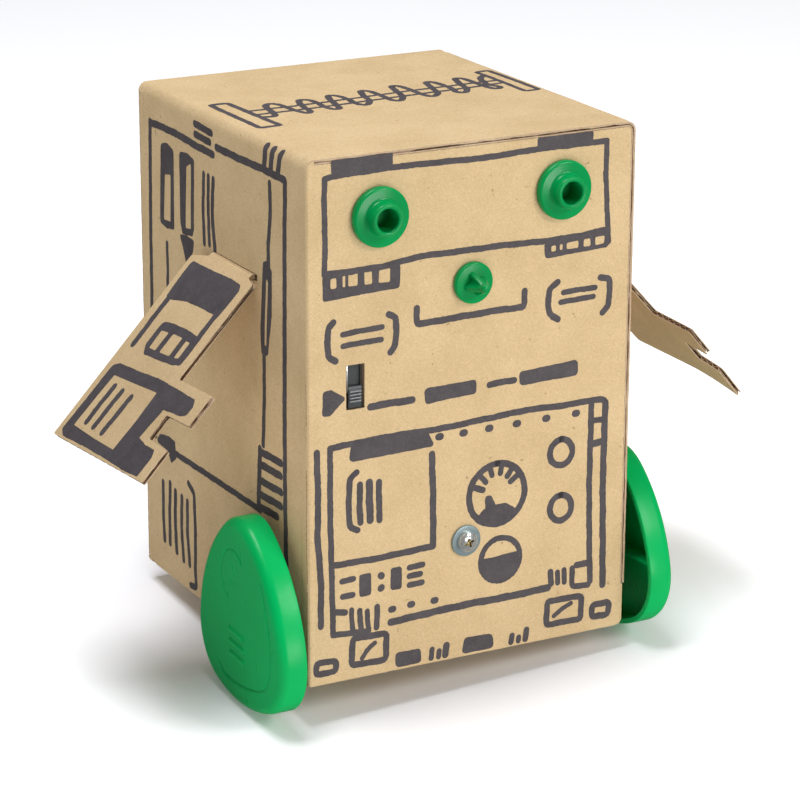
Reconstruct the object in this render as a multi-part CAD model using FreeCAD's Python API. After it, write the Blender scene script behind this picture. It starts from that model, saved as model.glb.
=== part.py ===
import FreeCAD
import Part
import math
import os

os.makedirs("parts", exist_ok=True)
V = FreeCAD.Vector

# ---------------------------------------------------------------- driving dimensions (mm)
# Carton frame: X across the face (0 at the middle), Y from the face (0) to the back, Z up from the carton's underside.
CARTON_W = 112.8
CARTON_D = 120.0
CARTON_H = 165.0
BOARD = 1.6            # E-flute corrugated board
FOLD_R = 3.0           # outside radius of the carton's folds
SEAM = 0.1             # gap between neighbouring boards
LAP_H = 14.0           # height of the face's lower lap over the right wall

EYE_L = (-32.3, 145.6)
EYE_R = (30.6, 146.5)
EYE_FLANGE_R = 9.25
EYE_TUBE_R = 5.0
EYE_BORE_R = 3.5
EYE_OUT = 6.2
EYE_SHANK_R = 4.9
EYE_HOLE_R = 5.0
NOSE = (-0.6, 121.3)
NOSE_DISC_R = 6.5
NOSE_OUT = 9.0
NOSE_SHANK_R = 2.6
NOSE_HOLE_R = 2.7

SWITCH_X = (-43.3, -37.1)     # window in the face
SWITCH_Z = (87.0, 101.0)
SWITCH_TRAVEL = 6.4

SCREW = (-2.0, 38.6)
WASHER_R = 5.0
WASHER_T = 0.8
SCREW_HEAD_R = 3.25
SCREW_HEAD_H = 2.2
SCREW_SHANK_R = 1.5

ARM_ANGLE = 47.0              # below the horizontal
ARM_Z = 121.5                 # height of the arm slots
ARM_AXIS_X = CARTON_W / 2 + 1.0
ARM_ROOT_Y = (34.6, 63.4)
ARM_START = 0.9
SLOT_H = 2.8
TAB_LEN = 16.0

AXLE_Y, AXLE_Z = 23.8, 19.0
AXLE_R = 2.0
AXLE_HALF = 67.4
AXLE_FLAT = 1.4

FOOT_GAP = 4.0
FOOT_T = 9.0
FOOT_WALL = 1.8
FOOT_EDGE_R = 2.6
FOOT_APEX = (24.9, 15.3)      # height and radius of the apex arc
FOOT_BASE = (11.1, 19.0)      # half spread and radius of the base arcs
FOOT_FLANK_R = 50.0
FOOT_SOLE_R = 51.0
FOOT_L_AT = (22.4, 8.75)       # left foot's local origin in (Y, Z)
FOOT_L_TURN = -2.9            # degrees
FOOT_PHASE = 240.0            # right foot's turn past the left one, degrees

GEAR_M = 0.5
BIG_T, SMALL_T = 36, 12
GEAR_C = (BIG_T + SMALL_T) * GEAR_M / 2
SECOND_AT = (AXLE_Y + GEAR_C * math.cos(math.radians(60)), AXLE_Z + GEAR_C * math.sin(math.radians(60)))
FIRST_AT = (SECOND_AT[0] + GEAR_C * math.cos(math.radians(20)), SECOND_AT[1] + GEAR_C * math.sin(math.radians(20)))
MOTOR_AT = (FIRST_AT[0] + GEAR_C * math.cos(math.radians(-100)), FIRST_AT[1] + GEAR_C * math.sin(math.radians(-100)))
PIN_R = 1.0

CASE_X = (-24.0, 6.6, 24.0)
CASE_Y = (1.8, 54.0)
CASE_Z = (1.8, 47.0)
CASE_WALL = 1.6

# how the finished robot stands: on both cam feet and the rear lower right corner of the carton
LEAN_BACK = 4.089
LEAN_SIDE = 2.775
SHIFT = (-3.052, -61.586, 11.139)

HW = CARTON_W / 2
shapes = {}


# ---------------------------------------------------------------- helpers
def box(x0, x1, y0, y1, z0, z1):
    return Part.makeBox(x1 - x0, y1 - y0, z1 - z0, V(x0, y0, z0))


def cyl_x(r, x0, x1, y, z):
    return Part.makeCylinder(r, x1 - x0, V(x0, y, z), V(1, 0, 0))


def cyl_y(r, y0, y1, x, z):
    return Part.makeCylinder(r, y1 - y0, V(x, y0, z), V(0, 1, 0))


def cyl_z(r, z0, z1, x, y):
    return Part.makeCylinder(r, z1 - z0, V(x, y, z0), V(0, 0, 1))


def fuse(*parts):
    s = parts[0]
    for p in parts[1:]:
        s = s.fuse(p)
    return s.removeSplitter()


def rounded_poly(points, closed=True):
    """Edges of a polygon whose corners carry a radius: points are (vector, radius)."""
    n = len(points)
    ends = []
    for i, (p, r) in enumerate(points):
        a = points[(i - 1) % n][0]
        b = points[(i + 1) % n][0]
        if r <= 1e-6:
            ends.append((p, None, p))
            continue
        u = (a - p).normalize()
        w = (b - p).normalize()
        half = u.getAngle(w) / 2
        d = r / math.tan(half)
        m = (u + w).normalize()
        c = p + m * (r / math.sin(half))
        ends.append((p + u * d, c - m * r, p + w * d))
    edges = []
    for i in range(n):
        s, mid, e = ends[i]
        if mid is not None:
            edges.append(Part.Arc(s, mid, e).toShape())
        nxt = ends[(i + 1) % n][0]
        if (nxt - e).Length > 1e-6:
            edges.append(Part.makeLine(e, nxt))
    return Part.Wire(Part.__sortEdges__(edges))


def plate(points, direction):
    return Part.Face(rounded_poly(points)).extrude(direction)


def revolve_y(profile, x, z):
    """Closed (radius, y) profile turned about the line along Y through (x, z)."""
    pts = [V(x + r, y, z) for r, y in profile]
    w = Part.makePolygon(pts + [pts[0]])
    return Part.Face(w).revolve(V(x, 0, z), V(0, 1, 0), 360)


def revolve_y_round(profile, x, z):
    """As revolve_y, with (radius, y, corner radius) points."""
    w = rounded_poly([(V(x + r, y, z), c) for r, y, c in profile])
    return Part.Face(w).revolve(V(x, 0, z), V(0, 1, 0), 360)


def mirror_x(s):
    return s.mirror(V(0, 0, 0), V(1, 0, 0))


def gear_wire(teeth, turn, x, cy, cz, back=0.05, addendum=0.8, dedendum=1.2):
    """Spur gear outline in the plane at x: 20 degree involute flanks drawn with short chords."""
    alpha = math.radians(20)
    rp = teeth * GEAR_M / 2
    rb = rp * math.cos(alpha)
    ra = rp + addendum * GEAR_M
    rr = rp - dedendum * GEAR_M
    half = math.pi / (2 * teeth) - back / (2 * rp)

    def inv(a):
        return math.tan(a) - a

    def ang(r):
        return half + inv(alpha) - inv(math.acos(min(1.0, rb / max(r, rb))))

    r0 = max(rb, rr)
    steps = [r0 + (ra - r0) * k / 3.0 for k in range(4)]
    pts = []
    for k in range(teeth):
        c = turn + 2 * math.pi * k / teeth
        flank = [(rr, ang(r0))] if rr < r0 - 1e-6 else []
        flank += [(r, ang(r)) for r in steps]
        for r, a in flank:
            pts.append(V(x, cy + r * math.cos(c - a), cz + r * math.sin(c - a)))
        for r, a in reversed(flank):
            pts.append(V(x, cy + r * math.cos(c + a), cz + r * math.sin(c + a)))
    return Part.makePolygon(pts + [pts[0]])


def gear(teeth, turn, x0, x1, at):
    return Part.Face(gear_wire(teeth, turn, x0, at[0], at[1])).extrude(V(x1 - x0, 0, 0))


def wire_tube(points, radius):
    """A round tube along straight runs joined by arcs as large as the runs allow."""
    p = [V(*q) for q in points]
    edges = []
    last = p[0]
    for i in range(1, len(p) - 1):
        u = (p[i - 1] - p[i])
        w = (p[i + 1] - p[i])
        short = min(u.Length, w.Length)
        u.normalize()
        w.normalize()
        half = u.getAngle(w) / 2
        d = 0.45 * short
        r = d * math.tan(half)
        m = (u + w).normalize()
        c = p[i] + m * (r / math.sin(half))
        s, e = p[i] + u * d, p[i] + w * d
        edges.append(Part.makeLine(last, s))
        edges.append(Part.Arc(s, c - m * r, e).toShape())
        print("lead bend radius %.1f" % r)
        last = e
    edges.append(Part.makeLine(last, p[-1]))
    path = Part.Wire(edges)
    start = (p[1] - p[0]).normalize()
    section = Part.Wire([Part.Circle(p[0], start, radius).toShape()])
    tube = path.makePipeShell([section], True, True)
    print("lead length %.1f, volume %.2f against %.2f" % (path.Length, tube.Volume, path.Length * math.pi * radius ** 2))
    return tube


def add(name, shape):
    shapes[name] = shape


# ---------------------------------------------------------------- carton
def carton_section(inset, r):
    x0, x1, z0, z1 = -HW + inset, HW - inset, inset, CARTON_H - inset
    return rounded_poly([(V(x0, 0, z0), r), (V(x1, 0, z0), r), (V(x1, 0, z1), r), (V(x0, 0, z1), r)])


outer = Part.Face(carton_section(0, FOLD_R)).extrude(V(0, CARTON_D, 0))
inner = Part.Face(carton_section(BOARD, FOLD_R - BOARD)).extrude(V(0, CARTON_D, 0))
sleeve = outer.cut(inner)
cut_d = BOARD + SEAM
inside_x = HW - BOARD
cuts = [
    box(-HW - 1, -inside_x + 0.01, -1, cut_d, -1, CARTON_H - FOLD_R),            # left wall behind the face
    box(-HW - 1, HW + 1, -1, cut_d, -1, FOLD_R),                                 # bottom wall behind the face
    box(inside_x - 0.01, HW + 1, -1, cut_d, -1, LAP_H + SEAM),                   # right wall under the lap
    box(-HW - 1, -inside_x + 0.01, CARTON_D - cut_d, CARTON_D + 1, FOLD_R, CARTON_H - FOLD_R),   # left wall at the lid's crease
    box(inside_x - 0.01, HW + 1, CARTON_D - cut_d, CARTON_D + 1, 73.9, 91.1),    # gap for the lid's pull tab
    box(-HW - 1, -inside_x + 1, ARM_ROOT_Y[0] - 0.6, ARM_ROOT_Y[1] + 0.6, ARM_Z - SLOT_H / 2, ARM_Z + SLOT_H / 2),
    box(inside_x - 1, HW + 1, ARM_ROOT_Y[0] - 0.6, ARM_ROOT_Y[1] + 0.6, ARM_Z - SLOT_H / 2, ARM_Z + SLOT_H / 2),
    cyl_x(5.0, -HW - 1, HW + 1, AXLE_Y, AXLE_Z),
]
for c in cuts:
    sleeve = sleeve.cut(c)
add("carton_sleeve", sleeve)

# face: sits between the top and right walls, with its lowest part lapping over the right wall's edge
fx0, fx1 = -HW, inside_x - SEAM
ftop = CARTON_H - BOARD - SEAM
face = plate([
    (V(fx0, 0, 0), 0.6), (V(HW - 0.8, 0, 0), 2.2), (V(HW - 0.8, 0, LAP_H), 1.2), (V(fx1, 0, LAP_H), 0.0),
    (V(fx1, 0, ftop), 1.39), (V(SEAM - inside_x, 0, ftop), 1.39), (V(SEAM - inside_x, 0, CARTON_H - FOLD_R - SEAM), 0.0), (V(fx0, 0, CARTON_H - FOLD_R - SEAM), 0.5),
], V(0, BOARD, 0))
corner = box(fx0 - 1, fx0 + 1.2, -1, 1.2, -1, CARTON_H).cut(cyl_z(1.2, -1, CARTON_H, fx0 + 1.2, 1.2))
face = face.cut(corner)
for at, r in ((EYE_L, EYE_HOLE_R), (EYE_R, EYE_HOLE_R), (NOSE, NOSE_HOLE_R), (SCREW, 1.9)):
    face = face.cut(cyl_y(r, -1, BOARD + 1, at[0], at[1]))
face = face.cut(box(SWITCH_X[0], SWITCH_X[1], -1, BOARD + 1, SWITCH_Z[0], SWITCH_Z[1]))
add("front_panel", face)

# back lid: creased along the left rear edge, with a tuck flap and a pull tab on its free side
ly0 = CARTON_D - BOARD
lid = plate([
    (V(-HW + 0.1, ly0, FOLD_R + SEAM), 0.5), (V(-inside_x + 1.4, ly0, FOLD_R + SEAM), 0.0), (V(-inside_x + 1.4, ly0, BOARD + SEAM), 0.5),
    (V(inside_x - SEAM, ly0, BOARD + SEAM), 1.4), (V(inside_x - SEAM, ly0, 74.0), 0.0), (V(HW + 5.0, ly0, 74.0), 4.0),
    (V(HW + 5.0, ly0, 91.0), 4.0), (V(inside_x - SEAM, ly0, 91.0), 0.0), (V(inside_x - SEAM, ly0, ftop), 1.4),
    (V(-inside_x + 1.4, ly0, ftop), 0.5), (V(-inside_x + 1.4, ly0, CARTON_H - FOLD_R - SEAM), 0.0), (V(-HW + 0.1, ly0, CARTON_H - FOLD_R - SEAM), 0.5),
], V(0, BOARD, 0))
flap = plate([
    (V(51.4, ly0, 20.0), 0.0), (V(51.4, ly0, 146.0), 0.0), (V(51.4, ly0 - 12.0, 140.0), 4.0), (V(51.4, ly0 - 12.0, 26.0), 4.0),
], V(BOARD, 0, 0))
add("back_lid", fuse(lid, flap))

# arms: flat claw boards, drawn lying flat (s outward from the crease, y from the face), then folded down
ARM_OUTLINE = [
    (ARM_START, ARM_ROOT_Y[1], 0.3), (3.2, 72.4, 0.6), (73.5, 72.6, 0.8), (69.7, 10.8, 0.6), (57.8, 10.8, 0.4),
    (57.8, 23.0, 0.3), (49.1, 23.0, 0.3), (48.2, 9.0, 0.5), (37.0, 9.0, 0.6), (38.2, 30.2, 0.4), (2.2, 30.0, 0.4), (ARM_START, ARM_ROOT_Y[0], 0.3),
]
arm_flat = plate([(V(s, y, -BOARD / 2), r) for s, y, r in ARM_OUTLINE], V(0, 0, BOARD))
arm_right = arm_flat.copy()
arm_right.rotate(V(0, 0, 0), V(0, 1, 0), ARM_ANGLE)
arm_right.translate(V(ARM_AXIS_X, 0, ARM_Z))
add("right_arm", arm_right)
add("left_arm", mirror_x(arm_right))
tab = plate([
    (V(ARM_AXIS_X - 0.2, ARM_ROOT_Y[0], 0), 0.0), (V(ARM_AXIS_X - 0.2, ARM_ROOT_Y[1], 0), 0.0),
    (V(inside_x - 2, ARM_ROOT_Y[1], 0), 0.0), (V(inside_x - TAB_LEN, ARM_ROOT_Y[1] - 5, 0), 3.0),
    (V(inside_x - TAB_LEN, ARM_ROOT_Y[0] + 5, 0), 3.0), (V(inside_x - 2, ARM_ROOT_Y[0], 0), 0.0),
], V(0, 0, BOARD))
tab.translate(V(0, 0, ARM_Z - BOARD / 2))
add("right_arm_tab", tab)
add("left_arm_tab", mirror_x(tab))


# ---------------------------------------------------------------- eyes, nose, retaining rings
def eye(at):
    return revolve_y_round([
        (0.0, 1.0, 0.0), (EYE_BORE_R, 1.0, 0.0), (EYE_BORE_R, -EYE_OUT, 0.6), (EYE_TUBE_R, -EYE_OUT, 0.7), (EYE_TUBE_R + 0.15, -2.6, 0.5),
        (EYE_FLANGE_R, -2.3, 1.1), (EYE_FLANGE_R, 0.0, 0.4), (EYE_SHANK_R, 0.0, 0.0), (EYE_SHANK_R, 3.75, 0.0), (EYE_SHANK_R + 0.35, 4.1, 0.0),
        (EYE_SHANK_R - 0.5, 5.6, 0.3), (0.0, 5.6, 0.0),
    ], at[0], at[1])


add("left_eye", eye(EYE_L))
add("right_eye", eye(EYE_R))

nose = revolve_y_round([
    (0.0, -2.0, 0.0), (NOSE_DISC_R, -1.8, 0.7), (NOSE_DISC_R, 0.0, 0.3), (NOSE_SHANK_R, 0.0, 0.0), (NOSE_SHANK_R, 3.75, 0.0),
    (NOSE_SHANK_R + 0.3, 4.05, 0.0), (NOSE_SHANK_R - 0.6, 5.4, 0.2), (0.0, 5.4, 0.0),
], NOSE[0], NOSE[1])
core = revolve_y([(0.0, -1.9), (1.5, -1.9), (1.2, -NOSE_OUT + 0.6), (0.7, -NOSE_OUT), (0.0, -NOSE_OUT)], NOSE[0], NOSE[1])
fin_a = plate([(V(-3.2, -1.7, -0.55), 0.0), (V(3.2, -1.7, -0.55), 0.0), (V(3.0, -3.4, -0.55), 0.8), (V(1.0, -NOSE_OUT, -0.55), 0.7),
               (V(-1.0, -NOSE_OUT, -0.55), 0.7), (V(-3.0, -3.4, -0.55), 0.8)], V(0, 0, 1.1))
fin_a.rotate(V(0, 0, 0), V(0, 1, 0), 20)
fin_b = fin_a.copy()
fin_b.rotate(V(0, 0, 0), V(0, 1, 0), 90)
for f in (fin_a, fin_b):
    f.translate(V(NOSE[0], 0, NOSE[1]))
add("nose_rivet", fuse(nose, core, fin_a, fin_b))

rings = []
for at, r in ((EYE_L, EYE_SHANK_R), (EYE_R, EYE_SHANK_R), (NOSE, NOSE_SHANK_R)):
    ring = cyl_y(r + 3.2, BOARD + 0.05, BOARD + 2.05, at[0], at[1]).cut(cyl_y(r + 0.04, 0, BOARD + 3, at[0], at[1]))
    rings.append(ring)
add("rivet_retainers", Part.makeCompound(rings))

# ---------------------------------------------------------------- fixing screw and washer
washer = cyl_y(WASHER_R, -WASHER_T, 0, SCREW[0], SCREW[1]).cut(cyl_y(SCREW_SHANK_R + 0.3, -2, 1, SCREW[0], SCREW[1]))
add("fixing_washer", washer)


def cross_recess(depth, width, length, x, y, z):
    a = box(x - length / 2, x + length / 2, y, y + depth, z - width / 2, z + width / 2)
    b = box(x - width / 2, x + width / 2, y, y + depth, z - length / 2, z + length / 2)
    return a.fuse(b)


hy = -WASHER_T - SCREW_HEAD_H
screw = revolve_y_round([
    (0.0, hy, 0.0), (SCREW_HEAD_R - 1.0, hy, 0.6), (SCREW_HEAD_R, hy + 1.1, 0.5), (SCREW_HEAD_R, -WASHER_T, 0.0), (SCREW_SHANK_R, -WASHER_T, 0.0),
    (SCREW_SHANK_R, 11.0, 0.0), (0.0, 13.5, 0.0),
], SCREW[0], SCREW[1])
screw = screw.cut(cross_recess(1.3, 0.8, 3.6, SCREW[0], hy - 0.01, SCREW[1]))
add("fixing_screw", screw)

# ---------------------------------------------------------------- slide switch
sxc = (SWITCH_X[0] + SWITCH_X[1]) / 2
add("switch_frame", box(sxc - 5.6, sxc + 5.6, 1.66, 2.2, 79.5, 108.5).cut(box(SWITCH_X[0] + 0.5, SWITCH_X[1] - 0.5, 1, 3, SWITCH_Z[0] + 0.2, SWITCH_Z[1] - 0.2))
    .cut(cyl_y(1.1, 1, 3, sxc, 82.2)).cut(cyl_y(1.1, 1, 3, sxc, 105.8)))
add("switch_body", box(sxc - 5.0, sxc + 5.0, 2.25, 8.2, 84.4, 103.6).cut(box(sxc - 2.4, sxc + 2.4, 2, 6.4, SWITCH_Z[0] + 0.0, SWITCH_Z[1] + 0.0)))
knob = box(sxc - 2.2, sxc + 2.2, -0.2, 6.2, SWITCH_Z[0] + 0.3, SWITCH_Z[0] + 7.1)
for k in range(4):
    z = SWITCH_Z[0] + 0.4 + k * 1.75
    ridge = plate([(V(sxc - 2.2, -0.1, z), 0.0), (V(sxc - 2.2, -0.1, z + 1.25), 0.0), (V(sxc - 2.2, -1.8, z + 0.95), 0.2), (V(sxc - 2.2, -1.8, z + 0.3), 0.2)], V(4.4, 0, 0))
    knob = knob.fuse(ridge)
add("switch_knob", knob.removeSplitter())
terms = []
for z in (88.0, 94.0, 100.0):
    terms.append(box(sxc - 1.1, sxc + 1.1, 8.25, 12.0, z - 0.25, z + 0.25).cut(cyl_z(0.5, z - 1, z + 1, sxc, 10.9)))
add("switch_terminals", Part.makeCompound(terms))


# ---------------------------------------------------------------- cam feet
def foot_points(grow, x):
    """Rounded-triangle outline in the local (u, v) plane: closed wire at x, offset outward by grow."""
    h, ra = FOOT_APEX
    b, rb = FOOT_BASE
    A, B1, B2 = (0.0, h), (b, 0.0), (-b, 0.0)

    def big(P, rp, Q, rq, R):
        d1, d2 = R - rp, R - rq
        dx, dy = Q[0] - P[0], Q[1] - P[1]
        D = math.hypot(dx, dy)
        a = (d1 * d1 - d2 * d2 + D * D) / (2 * D)
        hh = math.sqrt(d1 * d1 - a * a)
        ux, uy = dx / D, dy / D
        return (P[0] + a * ux - hh * uy, P[1] + a * uy + hh * ux)

    cF = big(B1, rb, A, ra, FOOT_FLANK_R)
    cB = big(B2, rb, B1, rb, FOOT_SOLE_R)
    cG = (-cF[0], cF[1])

    def at(c, r, a):
        return V(x, c[0] + (r + grow) * math.cos(a), c[1] + (r + grow) * math.sin(a))

    def direction(P, c):
        return math.atan2(P[1] - c[1], P[0] - c[0])

    a1 = direction(B1, cB)
    a2 = direction(B1, cF)
    a3 = direction(A, cF)
    arcs = [
        (cB, FOOT_SOLE_R, -math.pi - a1, a1), (B1, rb, a1, a2), (cF, FOOT_FLANK_R, a2, a3), (A, ra, a3, math.pi - a3),
        (cG, FOOT_FLANK_R, math.pi - a3, math.pi - a2), (B2, rb, math.pi - a2, math.pi - a1),
    ]
    edges = []
    for c, r, s, e in arcs:
        edges.append(Part.Arc(at(c, r, s), at(c, r, (s + e) / 2), at(c, r, e)).toShape())
    return Part.Wire(edges)


def foot_solid():
    """Left foot in local axes: x from 0 (open rim) to -FOOT_T (outer face), v up, u along +Y."""
    body = Part.Face(foot_points(0, 0)).extrude(V(-FOOT_T, 0, 0))
    edges = [e for e in body.Edges if abs(e.BoundBox.XMin + FOOT_T) < 1e-6 and abs(e.BoundBox.XMax + FOOT_T) < 1e-6]
    body = body.makeFillet(FOOT_EDGE_R, edges)
    cavity = Part.Face(foot_points(-FOOT_WALL, 0.5)).extrude(V(-FOOT_T + FOOT_WALL - 0.5, 0, 0))
    edges = [e for e in cavity.Edges if abs(e.BoundBox.XMin + FOOT_T - FOOT_WALL) < 1e-6 and abs(e.BoundBox.XMax + FOOT_T - FOOT_WALL) < 1e-6]
    cavity = cavity.makeFillet(1.0, edges)
    return body.cut(cavity)


def to_foot(y, z):
    """Carton (y, z) to the left foot's local (u, v)."""
    t = math.radians(-FOOT_L_TURN)
    dy, dz = y - FOOT_L_AT[0], z - FOOT_L_AT[1]
    return (dy * math.cos(t) - dz * math.sin(t), dy * math.sin(t) + dz * math.cos(t))


hub_u, hub_v = to_foot(AXLE_Y, AXLE_Z)
foot = foot_solid()
floor_x = -FOOT_T + FOOT_WALL
hub = Part.makeCylinder(4.4, -floor_x - 0.3 + 0.2, V(floor_x - 0.2, hub_u, hub_v), V(1, 0, 0))
ribs = []
trim = Part.Face(foot_points(-FOOT_WALL + 0.3, 0)).extrude(V(-FOOT_T, 0, 0))
for a in (60, 180, 300):
    r = box(floor_x - 0.2, -2.2, 0, 40, -0.6, 0.6)
    r.rotate(V(0, 0, 0), V(1, 0, 0), a)
    r.translate(V(0, hub_u, hub_v))
    ribs.append(r.common(trim))
foot = foot.fuse(hub)
for r in ribs:
    foot = foot.fuse(r)
bars = []
for k in range(3):
    b = box(-FOOT_T - 0.45, -FOOT_T + 0.3, -5.6, 5.6, -0.75, 0.75)
    b.translate(V(0, 1.2, 3.0 - 3.9 * k))
    bars.append(b)
for b in bars:
    foot = foot.fuse(b)
foot = foot.removeSplitter()
# flatted socket for the axle's end
sock = cyl_x(AXLE_R + 0.02, floor_x - 0.25, 1, hub_u, hub_v)
flat_cut = box(floor_x - 1, 2, hub_u - 5, hub_u + 5, hub_v + AXLE_FLAT + 0.02, hub_v + 5)
foot_left = foot.cut(sock.cut(flat_cut))
foot_left.rotate(V(0, 0, 0), V(1, 0, 0), FOOT_L_TURN)
foot_left.translate(V(-HW - FOOT_GAP, FOOT_L_AT[0], FOOT_L_AT[1]))
add("left_foot", foot_left)
foot_right = mirror_x(foot_left)
foot_right.rotate(V(0, AXLE_Y, AXLE_Z), V(1, 0, 0), FOOT_PHASE)
add("right_foot", foot_right)

# axle: round, with a flat milled on each end for the feet
axle = cyl_x(AXLE_R, -AXLE_HALF, AXLE_HALF, AXLE_Y, AXLE_Z)


def end_flat(side, turn):
    x0, x1 = (HW + FOOT_GAP - 0.3, AXLE_HALF + 1)
    if side < 0:
        x0, x1 = -x1, -x0
    b = box(x0, x1, AXLE_Y - 5, AXLE_Y + 5, AXLE_Z + AXLE_FLAT, AXLE_Z + 5)
    b.rotate(V(0, AXLE_Y, AXLE_Z), V(1, 0, 0), turn)
    return b


axle = axle.cut(end_flat(-1, FOOT_L_TURN)).cut(end_flat(1, FOOT_L_TURN + FOOT_PHASE))
add("output_axle", axle)

# ---------------------------------------------------------------- drive unit
xa, xm, xb = CASE_X
y0, y1 = CASE_Y
z0, z1 = CASE_Z
w = CASE_WALL
BOSS = [(y0 + 3.0, z0 + 3.0), (y0 + 3.0, z1 - 3.0), (y1 - 3.0, z0 + 3.0), (y1 - 3.0, z1 - 3.0)]


def shell_block(x0_, x1_):
    b = box(x0_, x1_, y0, y1, z0, z1)
    edges = [e for e in b.Edges if abs(e.BoundBox.YLength) < 1e-6 and abs(e.BoundBox.ZLength) < 1e-6]
    return b.makeFillet(2.0, edges)


case = shell_block(xa + w + 0.05, xm).cut(box(xa, xm - w, y0 + w, y1 - w, z0 + w, z1 - w))
mid = (xm - w - 0.1, xm + 0.1)
case = case.fuse(cyl_y(3.4, y0 + 0.2, 15.5, SCREW[0], SCREW[1]))
for by, bz in BOSS:
    case = case.fuse(cyl_x(2.6, -6.0, xm, by, bz))
case = case.fuse(cyl_x(2.6, xm - 0.2, xm + 0.6, SECOND_AT[0], SECOND_AT[1])).fuse(cyl_x(2.6, xm - 0.2, xm + 0.6, FIRST_AT[0], FIRST_AT[1]))
my, mz = MOTOR_AT
for cx in (-12.0, -2.0):
    cradle = box(cx, cx + 3.0, my - 8.6, my + 8.6, z0 + 0.2, mz - 10.05).fuse(box(cx, cx + 3.0, my - 8.6, my + 8.6, mz + 10.05, z1 - 0.2))
    case = case.fuse(cradle)
case = case.removeSplitter()
case = case.cut(cyl_y(SCREW_SHANK_R + 0.04, 0, 14.2, SCREW[0], SCREW[1]))
case = case.cut(cyl_x(3.2, mid[0], mid[1], my, mz)).cut(cyl_x(3.0, mid[0], mid[1], AXLE_Y, AXLE_Z))
for at in (FIRST_AT, SECOND_AT):
    case = case.cut(cyl_x(PIN_R + 0.02, xm - 1.0, xm + 2, at[0], at[1]))
for by, bz in BOSS:
    case = case.cut(cyl_x(1.24, -3.0, xm + 1, by, bz))
case = case.cut(cyl_z(1.1, z1 - w - 1, z1 + 1, -16.0, 22.0))
case = case.cut(cyl_z(1.1, z1 - w - 1, z1 + 1, -16.0, 30.0))
add("gearbox_case", case)

cover = shell_block(xm + 0.05, xb).cut(box(xm - 1, xb - w, y0 + w, y1 - w, z0 + w, z1 - w))
for by, bz in BOSS:
    cover = cover.fuse(cyl_x(2.6, xm + 0.05, xb, by, bz))
for at in (FIRST_AT, SECOND_AT):
    cover = cover.fuse(cyl_x(2.6, xb - w - 1.6, xb, at[0], at[1]))
cover = cover.removeSplitter()
for at in (FIRST_AT, SECOND_AT):
    cover = cover.cut(cyl_x(PIN_R + 0.02, xb - w - 2, xb - 0.7, at[0], at[1]))
for by, bz in BOSS:
    cover = cover.cut(cyl_x(1.24, xm - 1, xb + 1, by, bz))
cover = cover.cut(cyl_x(3.52, xb - w - 1, xb + 1, AXLE_Y, AXLE_Z))
add("gearbox_cover", cover)

end = shell_block(xa, xa + w)
rim = box(xa + w - 0.1, xa + w + 2.0, y0 + w + 0.06, y1 - w - 0.06, z0 + w + 0.06, z1 - w - 0.06).cut(
    box(xa, xa + w + 3.0, y0 + w + 1.4, y1 - w - 1.4, z0 + w + 1.4, z1 - w - 1.4))
end = end.fuse(rim).removeSplitter().cut(cyl_x(3.52, xa - 1, xa + w + 3, AXLE_Y, AXLE_Z))
add("motor_cover", end)

screws = []
for by, bz in BOSS:
    s = cyl_x(1.2, -2.6, xb + 0.05, by, bz).fuse(cyl_x(2.3, xb + 0.02, xb + 1.7, by, bz)).removeSplitter()
    s = s.cut(box(xb + 0.9, xb + 2, by - 1.5, by + 1.5, bz - 0.3, bz + 0.3)).cut(box(xb + 0.9, xb + 2, by - 0.3, by + 0.3, bz - 1.5, bz + 1.5))
    screws.append(s)
add("case_screws", Part.makeCompound(screws))

bushes = []
for side in (-1, 1):
    b = cyl_x(3.5, xb - w - 0.4, xb + 0.05, AXLE_Y, AXLE_Z).fuse(cyl_x(4.6, xb + 0.02, xb + 1.2, AXLE_Y, AXLE_Z)).removeSplitter()
    b = b.cut(cyl_x(AXLE_R + 0.05, xb - w - 2, xb + 3, AXLE_Y, AXLE_Z))
    bushes.append(b if side > 0 else mirror_x(b))
add("axle_bushes", Part.makeCompound(bushes))

add("gear_pins", Part.makeCompound([cyl_x(PIN_R, xm - 0.9, xb - 0.8, at[0], at[1]) for at in (FIRST_AT, SECOND_AT)]))


# gears: each pair is phased so that a tooth of one stands in a gap of the other
def phase_towards(at, to, teeth, tooth):
    """Turn that puts a tooth (or a gap) of the gear at `at` on the line to `to`."""
    a = math.atan2(to[1] - at[1], to[0] - at[0])
    return a if tooth else a + math.pi / teeth


axle_at = (AXLE_Y, AXLE_Z)
out_turn = phase_towards(axle_at, SECOND_AT, BIG_T, False)
second_small_turn = phase_towards(SECOND_AT, axle_at, SMALL_T, True)
second_big_turn = phase_towards(SECOND_AT, FIRST_AT, BIG_T, False)
first_small_turn = phase_towards(FIRST_AT, SECOND_AT, SMALL_T, True)
first_big_turn = phase_towards(FIRST_AT, MOTOR_AT, BIG_T, False)
motor_turn = phase_towards(MOTOR_AT, FIRST_AT, SMALL_T, True)

g = gear(BIG_T, out_turn, 15.2, 18.4, axle_at).fuse(cyl_x(3.6, 14.5, 20.6, *axle_at)).removeSplitter()
add("output_gear", g.cut(cyl_x(AXLE_R + 0.01, 10, 22, *axle_at)))
g = gear(BIG_T, second_big_turn, 11.2, 14.1, SECOND_AT).fuse(gear(SMALL_T, second_small_turn, 14.0, 18.9, SECOND_AT))
g = g.fuse(cyl_x(1.9, 7.4, 20.6, *SECOND_AT))
add("second_gear", g.cut(cyl_x(PIN_R + 0.06, 5, 23, *SECOND_AT)))
g = gear(BIG_T, first_big_turn, 7.8, 10.6, FIRST_AT).fuse(gear(SMALL_T, first_small_turn, 10.5, 14.7, FIRST_AT))
g = g.fuse(cyl_x(1.9, 7.4, 20.6, *FIRST_AT))
add("first_gear", g.cut(cyl_x(PIN_R + 0.06, 5, 23, *FIRST_AT)))
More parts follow.
